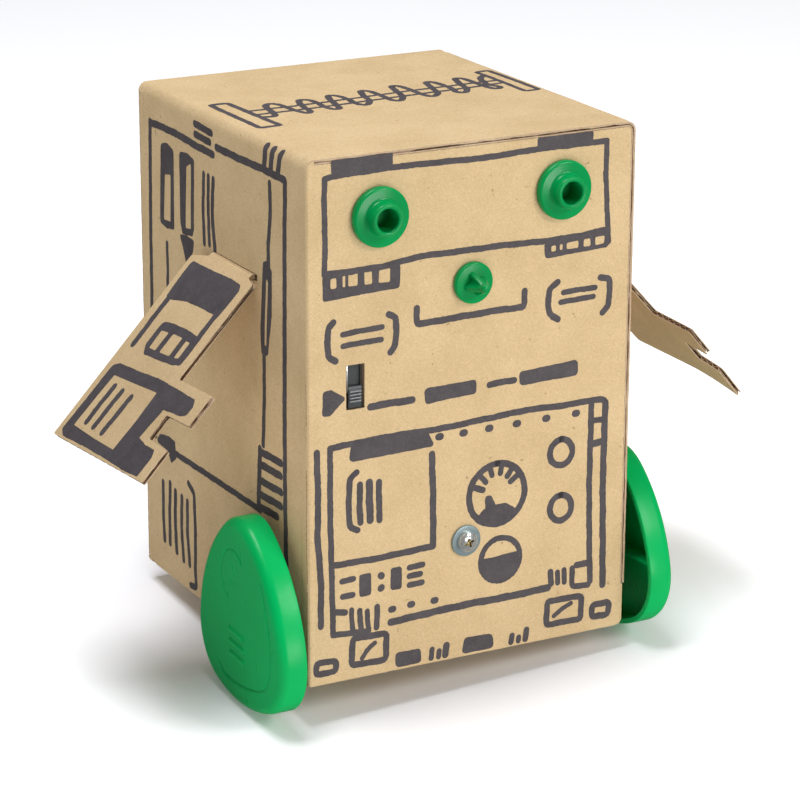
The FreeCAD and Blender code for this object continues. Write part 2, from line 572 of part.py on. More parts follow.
add("motor_pinion", gear(SMALL_T, motor_turn, 7.4, 10.9, MOTOR_AT).cut(cyl_x(1.01, 5, 14, *MOTOR_AT)))

# motor: flatted can, end cap, two magnets, three-pole armature and shaft
flat = box(-30, 20, my - 7.6, my + 7.6, mz - 11, mz + 11)
can = cyl_x(10.0, -15.0, 4.8, my, mz).common(flat)
hollow = cyl_x(9.4, -16.0, 4.1, my, mz).common(box(-30, 20, my - 7.0, my + 7.0, mz - 11, mz + 11))
can = can.cut(hollow).fuse(cyl_x(3.0, 4.2, 6.2, my, mz)).removeSplitter().cut(cyl_x(1.05, 0, 8, my, mz))
add("motor_can", can)
cap = cyl_x(9.9, -19.4, -15.05, my, mz).common(box(-30, 20, my - 7.5, my + 7.5, mz - 11, mz + 11))
cap = cap.fuse(cyl_x(3.0, -20.6, -19.2, my, mz)).removeSplitter().cut(cyl_x(1.05, -22, -10, my, mz))
cap = cap.cut(cyl_x(7.0, -18.0, -14.0, my, mz).common(box(-30, 20, my - 6.5, my + 6.5, mz - 11, mz + 11)))
add("motor_end_cap", cap)
magnets = []
for s in (-1, 1):
    m_ = cyl_x(9.3, -13.5, 3.0, my, mz).cut(cyl_x(6.6, -14, 4, my, mz))
    lo, hi = (mz + 4.2, mz + 11) if s > 0 else (mz - 11, mz - 4.2)
    magnets.append(m_.common(box(-30, 20, my - 6.9, my + 6.9, lo, hi)))
add("motor_magnets", Part.makeCompound(magnets))
arm_core = cyl_x(6.1, -11.0, 1.0, my, mz)
for a in (30, 150, 270):
    slot = cyl_x(1.9, -12, 2, my + 4.0 * math.cos(math.radians(a)), mz + 4.0 * math.sin(math.radians(a)))
    mouth = box(-12, 2, 3.5, 8, -0.5, 0.5)
    mouth.rotate(V(0, 0, 0), V(1, 0, 0), a)
    mouth.translate(V(0, my, mz))
    arm_core = arm_core.cut(slot).cut(mouth)
arm_core = arm_core.cut(cyl_x(1.01, -13, 3, my, mz))
add("motor_armature", arm_core)
add("motor_shaft", cyl_x(1.0, -20.9, 11.0, my, mz))

# battery tray behind the gearbox, with a cell, a spring, a contact and a sliding cover
ty0, ty1, tx0, tx1, tz0, tz1 = 54.05, 73.4, -31.0, 28.0, 1.8, 20.6
tray = box(tx0, tx1, ty0, ty1, tz0, tz1).cut(box(tx0 + 1.4, tx1 - 1.4, ty0 + 1.4, ty1 - 1.4, tz0 + 1.4, tz1 + 1))
cell_y, cell_z = (ty0 + ty1) / 2, tz0 + 1.5 + 7.15
saddle = box(-18, -16, ty0 + 1, ty1 - 1, tz0 + 1, cell_z - 2).fuse(box(14, 16, ty0 + 1, ty1 - 1, tz0 + 1, cell_z - 2))
saddle = saddle.cut(cyl_x(7.2, -30, 30, cell_y, cell_z))
tray = tray.fuse(saddle).removeSplitter()
add("battery_tray", tray)
cell = cyl_x(7.1, -24.4, 24.8, cell_y, cell_z)
edges = [e for e in cell.Edges if len(e.Vertexes) == 1 and e.Curve.TypeId == "Part::GeomCircle"]
cell = cell.makeFillet(0.6, edges).fuse(cyl_x(2.7, 24.7, 25.8, cell_y, cell_z)).removeSplitter()
add("battery_cell", cell)
add("battery_contact", fuse(box(26.0, 26.4, cell_y - 5, cell_y + 5, cell_z - 5, cell_z + 6), cyl_x(2.0, 25.85, 26.1, cell_y, cell_z)))
leaf = [(-29.2, 5.4), (-24.8, 0.7), (-24.6, 0.0), (-24.8, -0.7), (-27.6, -3.9), (-27.9, -3.6), (-25.2, -0.5), (-25.05, 0.0), (-25.2, 0.5), (-29.2, 4.75)]
leaf = Part.Face(Part.makePolygon([V(x, cell_y - 2.5, cell_z + z) for x, z in leaf + leaf[:1]])).extrude(V(0, 5.0, 0))
add("battery_spring", box(-29.5, -29.0, cell_y - 5, cell_y + 5, cell_z - 5, cell_z + 6).fuse(leaf).removeSplitter())
cov = box(tx0, tx1, ty0 + 0.2, ty1 + 0.1, tz1 + 0.1, tz1 + 1.6).fuse(box(tx0, tx1, ty1 + 0.1, ty1 + 1.6, tz1 - 7, tz1 + 1.6))
for k in range(4):
    cov = cov.fuse(box(-10, 10, ty1 - 12 + 2.4 * k, ty1 - 10.8 + 2.4 * k, tz1 + 1.5, tz1 + 2.2))
add("battery_cover", cov.removeSplitter())

# leads between the switch and the drive unit
add("motor_lead", wire_tube([(sxc, 12.1, 94.0), (sxc - 0.4, 19.5, 92.6), (sxc + 3.2, 25.6, 79.0), (sxc + 13.0, 27.5, 64.5), (sxc + 23.2, 22.0, 55.5), (-16.0, 22.0, CASE_Z[1] - 1.7)], 0.7))
add("battery_lead", wire_tube([(sxc, 12.1, 100.0), (sxc + 0.8, 21.0, 99.0), (sxc + 5.0, 30.5, 84.0), (sxc + 14.0, 34.0, 68.0), (sxc + 23.6, 30.5, 57.5), (-16.0, 30.0, CASE_Z[1] - 1.7)], 0.7))

# ---------------------------------------------------------------- stand the robot on its feet and export
stance = FreeCAD.Placement(V(*SHIFT), FreeCAD.Rotation(V(0, 1, 0), LEAN_SIDE).multiply(FreeCAD.Rotation(V(1, 0, 0), -LEAN_BACK)))
total = None
for name, s in shapes.items():
    s = s.copy()
    s.Placement = stance.multiply(s.Placement)
    solids = s.Solids
    if len(solids) == 1:
        s = solids[0]
    if not s.isValid():
        print("INVALID", name)
    s.exportStep(os.path.join("parts", name + ".step"))
    bb = s.optimalBoundingBox()
    total = bb if total is None else total.united(bb)
    print("%-18s solids %d volume %9.2f faces %d" % (name, len(solids), s.Volume, len(s.Faces)))
print("box", [round(v, 3) for v in (total.XMin, total.XMax, total.YMin, total.YMax, total.ZMin, total.ZMax)], "nodes", len(shapes))
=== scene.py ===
"""Educational cardboard robot: the looks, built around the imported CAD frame. Lengths are in mm until world() turns them into the row frame in metres."""

import math

import bpy
import numpy as np
from mathutils import Matrix, Vector, geometry

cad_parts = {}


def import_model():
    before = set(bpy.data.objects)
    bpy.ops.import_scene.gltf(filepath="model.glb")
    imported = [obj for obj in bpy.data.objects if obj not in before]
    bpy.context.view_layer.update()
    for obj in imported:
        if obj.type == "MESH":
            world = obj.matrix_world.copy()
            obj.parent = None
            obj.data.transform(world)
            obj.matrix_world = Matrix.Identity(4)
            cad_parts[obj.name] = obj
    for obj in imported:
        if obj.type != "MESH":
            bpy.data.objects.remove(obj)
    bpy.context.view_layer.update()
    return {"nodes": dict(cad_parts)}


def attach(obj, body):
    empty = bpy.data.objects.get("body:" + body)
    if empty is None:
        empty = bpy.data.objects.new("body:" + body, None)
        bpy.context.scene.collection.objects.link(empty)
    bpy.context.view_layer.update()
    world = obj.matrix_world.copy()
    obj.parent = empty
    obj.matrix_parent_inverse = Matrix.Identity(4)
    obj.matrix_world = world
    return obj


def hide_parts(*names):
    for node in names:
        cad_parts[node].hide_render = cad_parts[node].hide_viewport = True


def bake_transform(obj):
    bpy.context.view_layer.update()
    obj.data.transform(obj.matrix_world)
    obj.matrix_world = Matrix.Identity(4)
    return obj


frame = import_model()
NODES = frame["nodes"]

# ------------------------------------------------------------------ sizes shared with the CAD source (mm)
CARTON_W, CARTON_D, CARTON_H, BOARD, FOLD_R = 112.8, 120.0, 165.0, 1.6, 3.0
HW = CARTON_W / 2
LINER = 0.27
PITCH = 3.3
LEAN_BACK, LEAN_SIDE, SHIFT = math.radians(4.089), math.radians(2.775), np.array([-3.052, -61.586, 11.139])
ROT_X = np.array([[1, 0, 0], [0, math.cos(LEAN_BACK), math.sin(LEAN_BACK)], [0, -math.sin(LEAN_BACK), math.cos(LEAN_BACK)]])
ROT_Y = np.array([[math.cos(LEAN_SIDE), 0, math.sin(LEAN_SIDE)], [0, 1, 0], [-math.sin(LEAN_SIDE), 0, math.cos(LEAN_SIDE)]])
ROT = ROT_Y @ ROT_X
EYE_L, EYE_R, NOSE, SCREW = (-32.3, 145.6), (30.6, 146.5), (-0.6, 121.3), (-2.0, 38.6)
ARM_ANGLE, ARM_Z, ARM_AXIS_X, ARM_ROOT_Y, SLOT_H, TAB_LEN = math.radians(47.0), 121.5, HW + 1.0, (34.6, 63.4), 2.2, 16.0
AXLE_Y, AXLE_Z = 23.8, 19.0
FOOT_GAP, FOOT_T, FOOT_WALL, FOOT_EDGE_R = 4.0, 9.0, 1.8, 3.1
FOOT_L_AT, FOOT_L_TURN, FOOT_PHASE = (22.4, 8.75), math.radians(-2.9), math.radians(240.0)
LAP_H = 14.0


def world(p):
    """Carton frame in mm to the row frame in metres."""
    return (np.asarray(p, float).reshape(-1, 3) @ ROT.T + SHIFT) / 1000.0


def wave(x, seed=0.0):
    """Smooth, repeatable unevenness between about -1 and 1."""
    x = np.asarray(x, float)
    return 0.5 * np.sin(x * 1.0 + seed * 1.7) + 0.3 * np.sin(x * 2.31 + seed * 2.9 + 1.0) + 0.2 * np.sin(x * 4.73 + seed * 0.7 + 2.0)


# ------------------------------------------------------------------ materials
def new_material(name):
    m = bpy.data.materials.new(name)
    m.use_nodes = True
    nt = m.node_tree
    nt.nodes.clear()
    out = nt.nodes.new("ShaderNodeOutputMaterial")
    bsdf = nt.nodes.new("ShaderNodeBsdfPrincipled")
    nt.links.new(bsdf.outputs[0], out.inputs[0])
    return m, nt, bsdf


def node(nt, kind, **inputs):
    n = nt.nodes.new(kind)
    for k, v in inputs.items():
        if k.startswith("_"):
            setattr(n, k[1:], v)
        else:
            n.inputs[k.replace("__", " ")].default_value = v
    return n


def math_node(nt, op, a, b=None, clamp=False):
    n = nt.nodes.new("ShaderNodeMath")
    n.operation = op
    n.use_clamp = clamp
    for i, v in enumerate((a, b)):
        if v is None:
            continue
        if isinstance(v, (int, float)):
            n.inputs[i].default_value = v
        else:
            nt.links.new(v, n.inputs[i])
    return n.outputs[0]


def ramp(nt, source, stops):
    n = nt.nodes.new("ShaderNodeValToRGB")
    e = n.color_ramp.elements
    while len(e) < len(stops):
        e.new(0.5)
    for i, (p, c) in enumerate(stops):
        e[i].position = p
        e[i].color = (*c, 1) if len(c) == 3 else c
    nt.links.new(source, n.inputs[0])
    return n.outputs[0]


def mix(nt, kind, fac, a, b):
    n = nt.nodes.new("ShaderNodeMix")
    n.data_type = "RGBA"
    n.blend_type = kind
    n.clamp_factor = True
    for i, v in ((0, fac), (6, a), (7, b)):
        if isinstance(v, (int, float)):
            n.inputs[i].default_value = v
        elif isinstance(v, tuple):
            n.inputs[i].default_value = (*v, 1)
        else:
            nt.links.new(v, n.inputs[i])
    return n.outputs[2]


def scaled(nt, vector, scale, turn=(0, 0, 0)):
    if any(turn):
        r = nt.nodes.new("ShaderNodeMapping")
        r.inputs["Rotation"].default_value = turn
        nt.links.new(vector, r.inputs["Vector"])
        vector = r.outputs[0]
    n = nt.nodes.new("ShaderNodeMapping")
    n.inputs["Scale"].default_value = scale
    nt.links.new(vector, n.inputs["Vector"])
    return n.outputs[0]


def noise(nt, vector, scale, detail=2.0, rough=0.5, distortion=0.0):
    n = node(nt, "ShaderNodeTexNoise", Scale=scale, Detail=detail, Roughness=rough, Distortion=distortion)
    nt.links.new(vector, n.inputs["Vector"])
    return n.outputs[0]


def bump(nt, bsdf, height, strength, distance, chain=None):
    n = node(nt, "ShaderNodeBump", Strength=strength, Distance=distance)
    nt.links.new(height, n.inputs["Height"])
    if chain is not None:
        nt.links.new(chain, n.inputs["Normal"])
    nt.links.new(n.outputs[0], bsdf.inputs["Normal"])
    return n.outputs[0]


def fibres(nt, coord, seed):
    """Thin paper fibres lying every way: several stretched noises, each turned its own way, kept only at their crests."""
    total = None
    for k, (turn, scale) in enumerate((((0.3, 0.2, 0.5), 1.0), ((1.1, 0.7, -0.6), 1.2), ((-0.5, 1.3, 1.7), 0.9), ((0.9, -0.8, 2.6), 1.1))):
        v = scaled(nt, coord, (260 * scale, 2600 * scale, 2600 * scale), (turn[0] + seed, turn[1], turn[2] + seed * 0.6))
        f = noise(nt, v, 1.0, 1.0)
        f = math_node(nt, "MULTIPLY", math_node(nt, "SUBTRACT", f, 0.62, clamp=True), 5.0, clamp=True)
        total = f if total is None else math_node(nt, "MAXIMUM", total, f)
    return total


def kraft(name, light=(0.66, 0.484, 0.266), dark=(0.585, 0.42, 0.220), washboard=True, tint=1.0):
    m, nt, bsdf = new_material(name)
    coord = node(nt, "ShaderNodeTexCoord")
    obj = coord.outputs["Object"]
    uv = node(nt, "ShaderNodeUVMap", _uv_map="board").outputs[0]
    cloud = noise(nt, obj, 55.0, 4.0, 0.6)
    blotch = noise(nt, obj, 210.0, 3.0, 0.6)
    grain = noise(nt, scaled(nt, obj, (900, 900, 900)), 1.0, 3.0, 0.7)
    light, dark = tuple(c * tint for c in light), tuple(c * tint for c in dark)
    base = ramp(nt, cloud, [(0.32, dark), (0.62, light)])
    base = mix(nt, "MIX", math_node(nt, "MULTIPLY", blotch, 0.30), base, tuple(c * 0.9 for c in light))
    base = mix(nt, "MULTIPLY", 0.42, base, ramp(nt, grain, [(0.3, (0.86, 0.85, 0.83)), (0.7, (1.07, 1.07, 1.08))]))
    speck = noise(nt, scaled(nt, obj, (2600, 2600, 2600)), 1.0, 2.0, 0.7)
    base = mix(nt, "MULTIPLY", 0.80, base, ramp(nt, speck, [(0.30, (0.86, 0.85, 0.82)), (0.52, (1.0, 1.0, 1.0)), (0.72, (1.10, 1.11, 1.13))]))
    pale = fibres(nt, obj, 0.0)
    base = mix(nt, "MIX", math_node(nt, "MULTIPLY", pale, 0.34), base, (0.82 * tint, 0.66 * tint, 0.46 * tint))
    brown = fibres(nt, obj, 2.4)
    base = mix(nt, "MIX", math_node(nt, "MULTIPLY", brown, 0.36), base, (0.33 * tint, 0.21 * tint, 0.10 * tint))
    fleck = noise(nt, obj, 620.0, 1.0, 0.4)
    fleck = math_node(nt, "MULTIPLY", math_node(nt, "SUBTRACT", fleck, 0.735, clamp=True), 14.0, clamp=True)
    base = mix(nt, "MIX", math_node(nt, "MULTIPLY", fleck, 0.55), base, (0.24 * tint, 0.14 * tint, 0.06 * tint))
    if washboard:
        w = node(nt, "ShaderNodeTexWave", Scale=1.0, Distortion=0.35, Detail=1.0, Detail__Scale=1.5, _wave_type="BANDS", _bands_direction="X", _wave_profile="SIN")
        nt.links.new(scaled(nt, uv, (10.0 / PITCH * 3.14159265 / 10.0 * 1.0, 0.02, 1.0)), w.inputs["Vector"])
        flute = w.outputs[1]
        # the colour too is a little darker in the flutes' troughs and lighter on their crests, as the bump below would
        # shade them: painted shade
        base = mix(nt, "MULTIPLY", 0.5, base, ramp(nt, flute, [(0.0, (0.965, 0.962, 0.955)), (1.0, (1.02, 1.02, 1.02))]))
        chain = bump(nt, bsdf, flute, 0.35, 0.00005)
    else:
        chain = None
    nt.links.new(base, bsdf.inputs["Base Color"])
    chain = bump(nt, bsdf, math_node(nt, "ADD", grain, math_node(nt, "MULTIPLY", pale, 0.6)), 0.35, 0.00006, chain)
    rough = math_node(nt, "ADD", math_node(nt, "MULTIPLY", grain, 0.16), 0.72)
    nt.links.new(rough, bsdf.inputs["Roughness"])
    bsdf.inputs["Specular IOR Level"].default_value = 0.10
    return m


def ink(name):
    m, nt, bsdf = new_material(name)
    obj = node(nt, "ShaderNodeTexCoord").outputs["Object"]
    cloud = noise(nt, obj, 160.0, 4.0, 0.65)
    grain = noise(nt, scaled(nt, obj, (1400, 1400, 1400)), 1.0, 3.0, 0.7)
    base = ramp(nt, cloud, [(0.25, (0.056, 0.047, 0.050)), (0.75, (0.088, 0.076, 0.080))])
    base = mix(nt, "MIX", math_node(nt, "MULTIPLY", math_node(nt, "SUBTRACT", grain, 0.52, clamp=True), 1.1), base, (0.20, 0.165, 0.15))
    base = mix(nt, "MIX", math_node(nt, "MULTIPLY", fibres(nt, obj, 0.0), 0.22), base, (0.20, 0.165, 0.145))
    nt.links.new(base, bsdf.inputs["Base Color"])
    bump(nt, bsdf, grain, 0.3, 0.00005)
    nt.links.new(math_node(nt, "ADD", math_node(nt, "MULTIPLY", cloud, 0.2), 0.55), bsdf.inputs["Roughness"])
    bsdf.inputs["Specular IOR Level"].default_value = 0.3
    return m


def plastic(name, colour, deep, rough=0.22, coat=0.35, sss=0.0, texture=0.0, shine=0.5):
    m, nt, bsdf = new_material(name)
    obj = node(nt, "ShaderNodeTexCoord").outputs["Object"]
    cloud = noise(nt, obj, 70.0, 3.0, 0.5)
    fine = noise(nt, scaled(nt, obj, (2200, 2200, 2200)), 1.0, 2.0, 0.6)
    nt.links.new(ramp(nt, cloud, [(0.3, deep), (0.7, colour)]), bsdf.inputs["Base Color"])
    smear = noise(nt, scaled(nt, obj, (60, 240, 60), (0.4, 0.2, 0.3)), 1.0, 3.0, 0.6)
    nt.links.new(math_node(nt, "ADD", math_node(nt, "MULTIPLY", smear, 0.14), rough - 0.07), bsdf.inputs["Roughness"])
    chain = bump(nt, bsdf, fine, 0.12 + texture, 0.00002 + 0.00006 * texture)
    bump(nt, bsdf, noise(nt, obj, 45.0, 2.0), 0.10, 0.0002, chain)
    bsdf.inputs["Coat Weight"].default_value = coat
    bsdf.inputs["Coat Roughness"].default_value = 0.08
    bsdf.inputs["IOR"].default_value = 1.5
    bsdf.inputs["Specular IOR Level"].default_value = shine
    if sss:
        bsdf.inputs["Subsurface Weight"].default_value = sss
        bsdf.inputs["Subsurface Radius"].default_value = (0.3, 1.0, 0.4)
        bsdf.inputs["Subsurface Scale"].default_value = 0.0012
    return m


def metal(name, colour, rough=0.3, stretch=(900, 900, 60), tint=None, metallic=1.0):
    m, nt, bsdf = new_material(name)
    obj = node(nt, "ShaderNodeTexCoord").outputs["Object"]
    brushed = noise(nt, scaled(nt, obj, stretch), 1.0, 3.0, 0.6)
    cloud = noise(nt, obj, 300.0, 3.0, 0.6)
    base = ramp(nt, cloud, [(0.3, tuple(c * 0.82 for c in colour)), (0.7, colour)])
    if tint:
        patch = noise(nt, obj, 420.0, 2.0, 0.5)
        base = mix(nt, "MIX", math_node(nt, "MULTIPLY", math_node(nt, "SUBTRACT", patch, 0.48, clamp=True), 3.0, clamp=True), base, tint)
    nt.links.new(base, bsdf.inputs["Base Color"])
    nt.links.new(math_node(nt, "ADD", math_node(nt, "MULTIPLY", brushed, 0.22), rough - 0.1), bsdf.inputs["Roughness"])
    bump(nt, bsdf, brushed, 0.12, 0.00003)
    bsdf.inputs["Metallic"].default_value = metallic
    return m


def wound_copper(name):
    m, nt, bsdf = new_material(name)
    obj = node(nt, "ShaderNodeTexCoord").outputs["Object"]
    w = node(nt, "ShaderNodeTexWave", Scale=1.0, Distortion=0.6, Detail=1.0, _wave_type="BANDS", _bands_direction="X")
    nt.links.new(scaled(nt, obj, (1500, 40, 40)), w.inputs["Vector"])
    # the colour is darker in the grooves between the turns and lighter on the wire, as the bump below shades them:
    # painted shade
    nt.links.new(ramp(nt, w.outputs[1], [(0.0, (0.20, 0.20, 0.21)), (1.0, (0.42, 0.41, 0.40))]), bsdf.inputs["Base Color"])
    bump(nt, bsdf, w.outputs[1], 0.5, 0.0001)
    bsdf.inputs["Metallic"].default_value = 0.8
    bsdf.inputs["Roughness"].default_value = 0.45
    return m


def cell_wrap(name):
    """A plain battery sleeve: body colour with one band near the positive end."""
    m, nt, bsdf = new_material(name)
    obj = node(nt, "ShaderNodeTexCoord").outputs["Object"]
    split = nt.nodes.new("ShaderNodeSeparateXYZ")
    nt.links.new(obj, split.inputs[0])
    end = math_node(nt, "GREATER_THAN", split.outputs[0], 0.0125)
    cloud = noise(nt, obj, 90.0, 2.0, 0.5)
    body = ramp(nt, cloud, [(0.3, (0.045, 0.047, 0.05)), (0.7, (0.07, 0.072, 0.078))])
    nt.links.new(mix(nt, "MIX", end, body, (0.62, 0.30, 0.07)), bsdf.inputs["Base Color"])
    bump(nt, bsdf, noise(nt, scaled(nt, obj, (1200, 1200, 1200)), 1.0, 2.0), 0.1, 0.00003)
    bsdf.inputs["Roughness"].default_value = 0.28
    bsdf.inputs["Coat Weight"].default_value = 0.3
    return m


def floor_material(name):
    m, nt, bsdf = new_material(name)
    obj = node(nt, "ShaderNodeTexCoord").outputs["Object"]
    nt.links.new(ramp(nt, noise(nt, obj, 3.0, 2.0), [(0.3, (0.86, 0.86, 0.865)), (0.7, (0.88, 0.88, 0.88))]), bsdf.inputs["Base Color"])
    bsdf.inputs["Roughness"].default_value = 0.85
    bsdf.inputs["Specular IOR Level"].default_value = 0.1
    # painted glow: the floor gives off light of its own, almost none within 0.05 m of the middle and most from 0.145 m
    # out, so it reads white away from the robot
    bsdf.inputs["Emission Color"].default_value = (1, 1, 1, 1)
    place = nt.nodes.new("ShaderNodeVectorMath")
    place.operation = "LENGTH"
    nt.links.new(obj, place.inputs[0])
    far = nt.nodes.new("ShaderNodeMapRange")
    far.interpolation_type = "SMOOTHSTEP"
    for i, v_ in enumerate((0.050, 0.145, 0.03, 0.46)):
        far.inputs[1 + i].default_value = v_
    nt.links.new(place.outputs["Value"], far.inputs[0])
    nt.links.new(far.outputs[0], bsdf.inputs["Emission Strength"])
    return m


KRAFT = kraft("kraft_liner")
KRAFT_IN = kraft("kraft_inner_liner", light=(0.58, 0.42, 0.235), dark=(0.50, 0.355, 0.19))
MEDIUM = kraft("fluting_medium", light=(0.42, 0.29, 0.19), dark=(0.33, 0.22, 0.145), washboard=False)
CUT_EDGE = kraft("liner_cut_edge", light=(0.55, 0.405, 0.265), dark=(0.40, 0.28, 0.17), washboard=False)
CREASE = kraft("crease_line", light=(0.26, 0.145, 0.085), dark=(0.18, 0.095, 0.05), washboard=False)
INK = ink("marker_ink")
# GREEN and the darker copy below are one green plastic: the feet face away from the key light and get the lighter copy,
# the eyes and nose face it and get the darker one: painted light and shade
GREEN = plastic("green_plastic", (0.0, 0.425, 0.100), (0.0, 0.40, 0.092), rough=0.30, coat=0.02, sss=0.05, shine=0.15)
SHADED_GREEN = plastic("green_plastic_darker_copy", (0.0, 0.275, 0.066), (0.0, 0.25, 0.058), rough=0.24, coat=0.04, sss=0.05, shine=0.20)
BLACK = plastic("black_plastic", (0.050, 0.055, 0.055), (0.040, 0.044, 0.044), rough=0.42, coat=0.1, texture=0.3)
# the slider's ridges: the same black plastic as its body, coloured lighter grey to offset the shade in the switch
# window: painted light
RIDGE_PAINTED_LIGHTER = plastic("ridges_painted_lighter", (0.20, 0.205, 0.21), (0.15, 0.155, 0.16), rough=0.35, coat=0.1, texture=0.3)
GREY = plastic("grey_plastic", (0.24, 0.25, 0.26), (0.20, 0.21, 0.22), rough=0.45, coat=0.0, texture=0.4)
NYLON = plastic("natural_nylon", (0.78, 0.75, 0.66), (0.70, 0.67, 0.58), rough=0.38, coat=0.05, sss=0.2, texture=0.2)
ZINC = metal("zinc_plate", (0.56, 0.60, 0.60), 0.34, tint=(0.44, 0.47, 0.50))
SCREW_METAL = metal("zinc_screw", (0.88, 0.88, 0.84), 0.17, metallic=0.8)
WASHER = metal("zinc_washer", (0.36, 0.45, 0.46), 0.34, tint=(0.27, 0.34, 0.36), metallic=0.6)
RECESS = metal("screw_recess", (0.52, 0.42, 0.18), 0.40, tint=(0.24, 0.17, 0.06))
STEEL = metal("drawn_steel", (0.60, 0.60, 0.58), 0.3)
BRASS = metal("tinned_brass", (0.74, 0.60, 0.32), 0.32, tint=(0.66, 0.62, 0.52))
FERRITE = metal("ferrite", (0.10, 0.10, 0.11), 0.6, (600, 600, 600), metallic=0.2)
COPPER = wound_copper("wound_rotor")
CELL = cell_wrap("cell_wrap")
RED_LEAD = plastic("red_lead", (0.46, 0.015, 0.012), (0.38, 0.01, 0.01), rough=0.4, coat=0.0)
BLACK_LEAD = plastic("black_lead", (0.02, 0.02, 0.02), (0.015, 0.015, 0.015), rough=0.4, coat=0.0)


# ------------------------------------------------------------------ mesh tools
def volume(co, faces):
    total = 0.0
    for f in faces:
        a = co[f[0]]
        for i in range(1, len(f) - 1):
            total += float(np.dot(a, np.cross(co[f[i]], co[f[i + 1]])))
    return total


def outward(co, faces):
    """The faces of one closed shell, turned so that they face outward."""
    centre = co.mean(0)
    return [tuple(reversed(f)) for f in faces] if volume(co - centre, faces) < 0 else faces


class Build:
    """Gathers shells of one piece: points in the carton frame in mm, faces, a material number per face and board coordinates."""

    def __init__(self):
        self.co, self.faces, self.mats, self.uv = [], [], [], []
        self.count = 0

    def shell(self, co, faces, mat=0, uv=None, turn=True):
        co = np.asarray(co, float).reshape(-1, 3)
        if turn:
            faces = outward(co, faces)
        n = self.count
        self.co.append(co)
        self.uv.append(np.zeros((len(co), 2)) if uv is None else np.asarray(uv, float).reshape(-1, 2))
        self.faces += [tuple(int(i) + n for i in f) for f in faces]
        self.mats += list(mat) if hasattr(mat, "__len__") else [mat] * len(faces)
        self.count += len(co)

    def make(self, name, body, materials, slot, angle=40, in_world=False, flat=False):
        co = np.concatenate(self.co)
        if not in_world:
            co = world(co)
        me = bpy.data.meshes.new(name)
        me.from_pydata(co.tolist(), [], self.faces)
        uv = np.concatenate(self.uv)
        layer = me.uv_layers.new(name="board")
        idx = np.zeros(len(me.loops), np.int32)
        me.loops.foreach_get("vertex_index", idx)
        layer.data.foreach_set("uv", uv[idx].astype(np.float32).ravel())
        for m in materials:
            me.materials.append(m)
        me.polygons.foreach_set("material_index", np.array(self.mats, np.int32))
        me.polygons.foreach_set("use_smooth", np.full(len(me.polygons), not flat))
        if not flat:
            me.set_sharp_from_angle(angle=math.radians(angle))
        me.update()
        ob = bpy.data.objects.new(name, me)
        bpy.context.scene.collection.objects.link(ob)
        if body:
            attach(ob, body)
        return ob


def inside(pts, poly):
    x, y = pts[:, 0], pts[:, 1]
    p = np.asarray(poly, float)
    q = np.roll(p, -1, 0)
    hit = np.zeros(len(pts), bool)
    for (x0, y0), (x1, y1) in zip(p, q):
        if y0 == y1:
            continue
        cross = ((y0 > y) != (y1 > y)) & (x < (x1 - x0) * (y - y0) / (y1 - y0) + x0)
        hit ^= cross
    return hit


def distance(pts, poly):
    p = np.asarray(poly, float)
    q = np.roll(p, -1, 0)
    best = np.full(len(pts), 1e9)
    for a, b in zip(p, q):
        d = b - a
        L = max(float(d @ d), 1e-12)
        t = np.clip(((pts - a) @ d) / L, 0, 1)
        best = np.minimum(best, np.linalg.norm(pts - (a + t[:, None] * d), axis=1))
    return best


def round_corners(points, steps=4):
    """Closed polygon of (x, y, radius) with its corners rounded."""
    out = []
    n = len(points)
    for i in range(n):
        p = np.array(points[i][:2], float)
        r = points[i][2] if len(points[i]) > 2 else 0.0
        a = np.array(points[i - 1][:2], float)
        b = np.array(points[(i + 1) % n][:2], float)
        if r <= 1e-6:
            out.append(p)
            continue
        u, w = (a - p) / np.linalg.norm(a - p), (b - p) / np.linalg.norm(b - p)
        half = math.acos(max(-1, min(1, float(u @ w)))) / 2
        d = min(r / math.tan(half), 0.49 * np.linalg.norm(a - p), 0.49 * np.linalg.norm(b - p))
        r = d * math.tan(half)
        m = (u + w) / np.linalg.norm(u + w)
        c = p + m * (r / math.sin(half))
        s, e = p + u * d - c, p + w * d - c
        total = math.atan2(s[0] * e[1] - s[1] * e[0], float(s @ e))
        for k in range(steps + 1):
            t = total * k / steps
            out.append(c + np.array([s[0] * math.cos(t) - s[1] * math.sin(t), s[0] * math.sin(t) + s[1] * math.cos(t)]))
    return np.array(out)


def densify(loop, step):
    loop = np.asarray(loop, float)
    out = []
    for a, b in zip(loop, np.roll(loop, -1, 0)):
        n = max(1, int(math.ceil(np.linalg.norm(b - a) / step)))
        for k in range(n):
            out.append(a + (b - a) * k / n)
    return np.array(out)


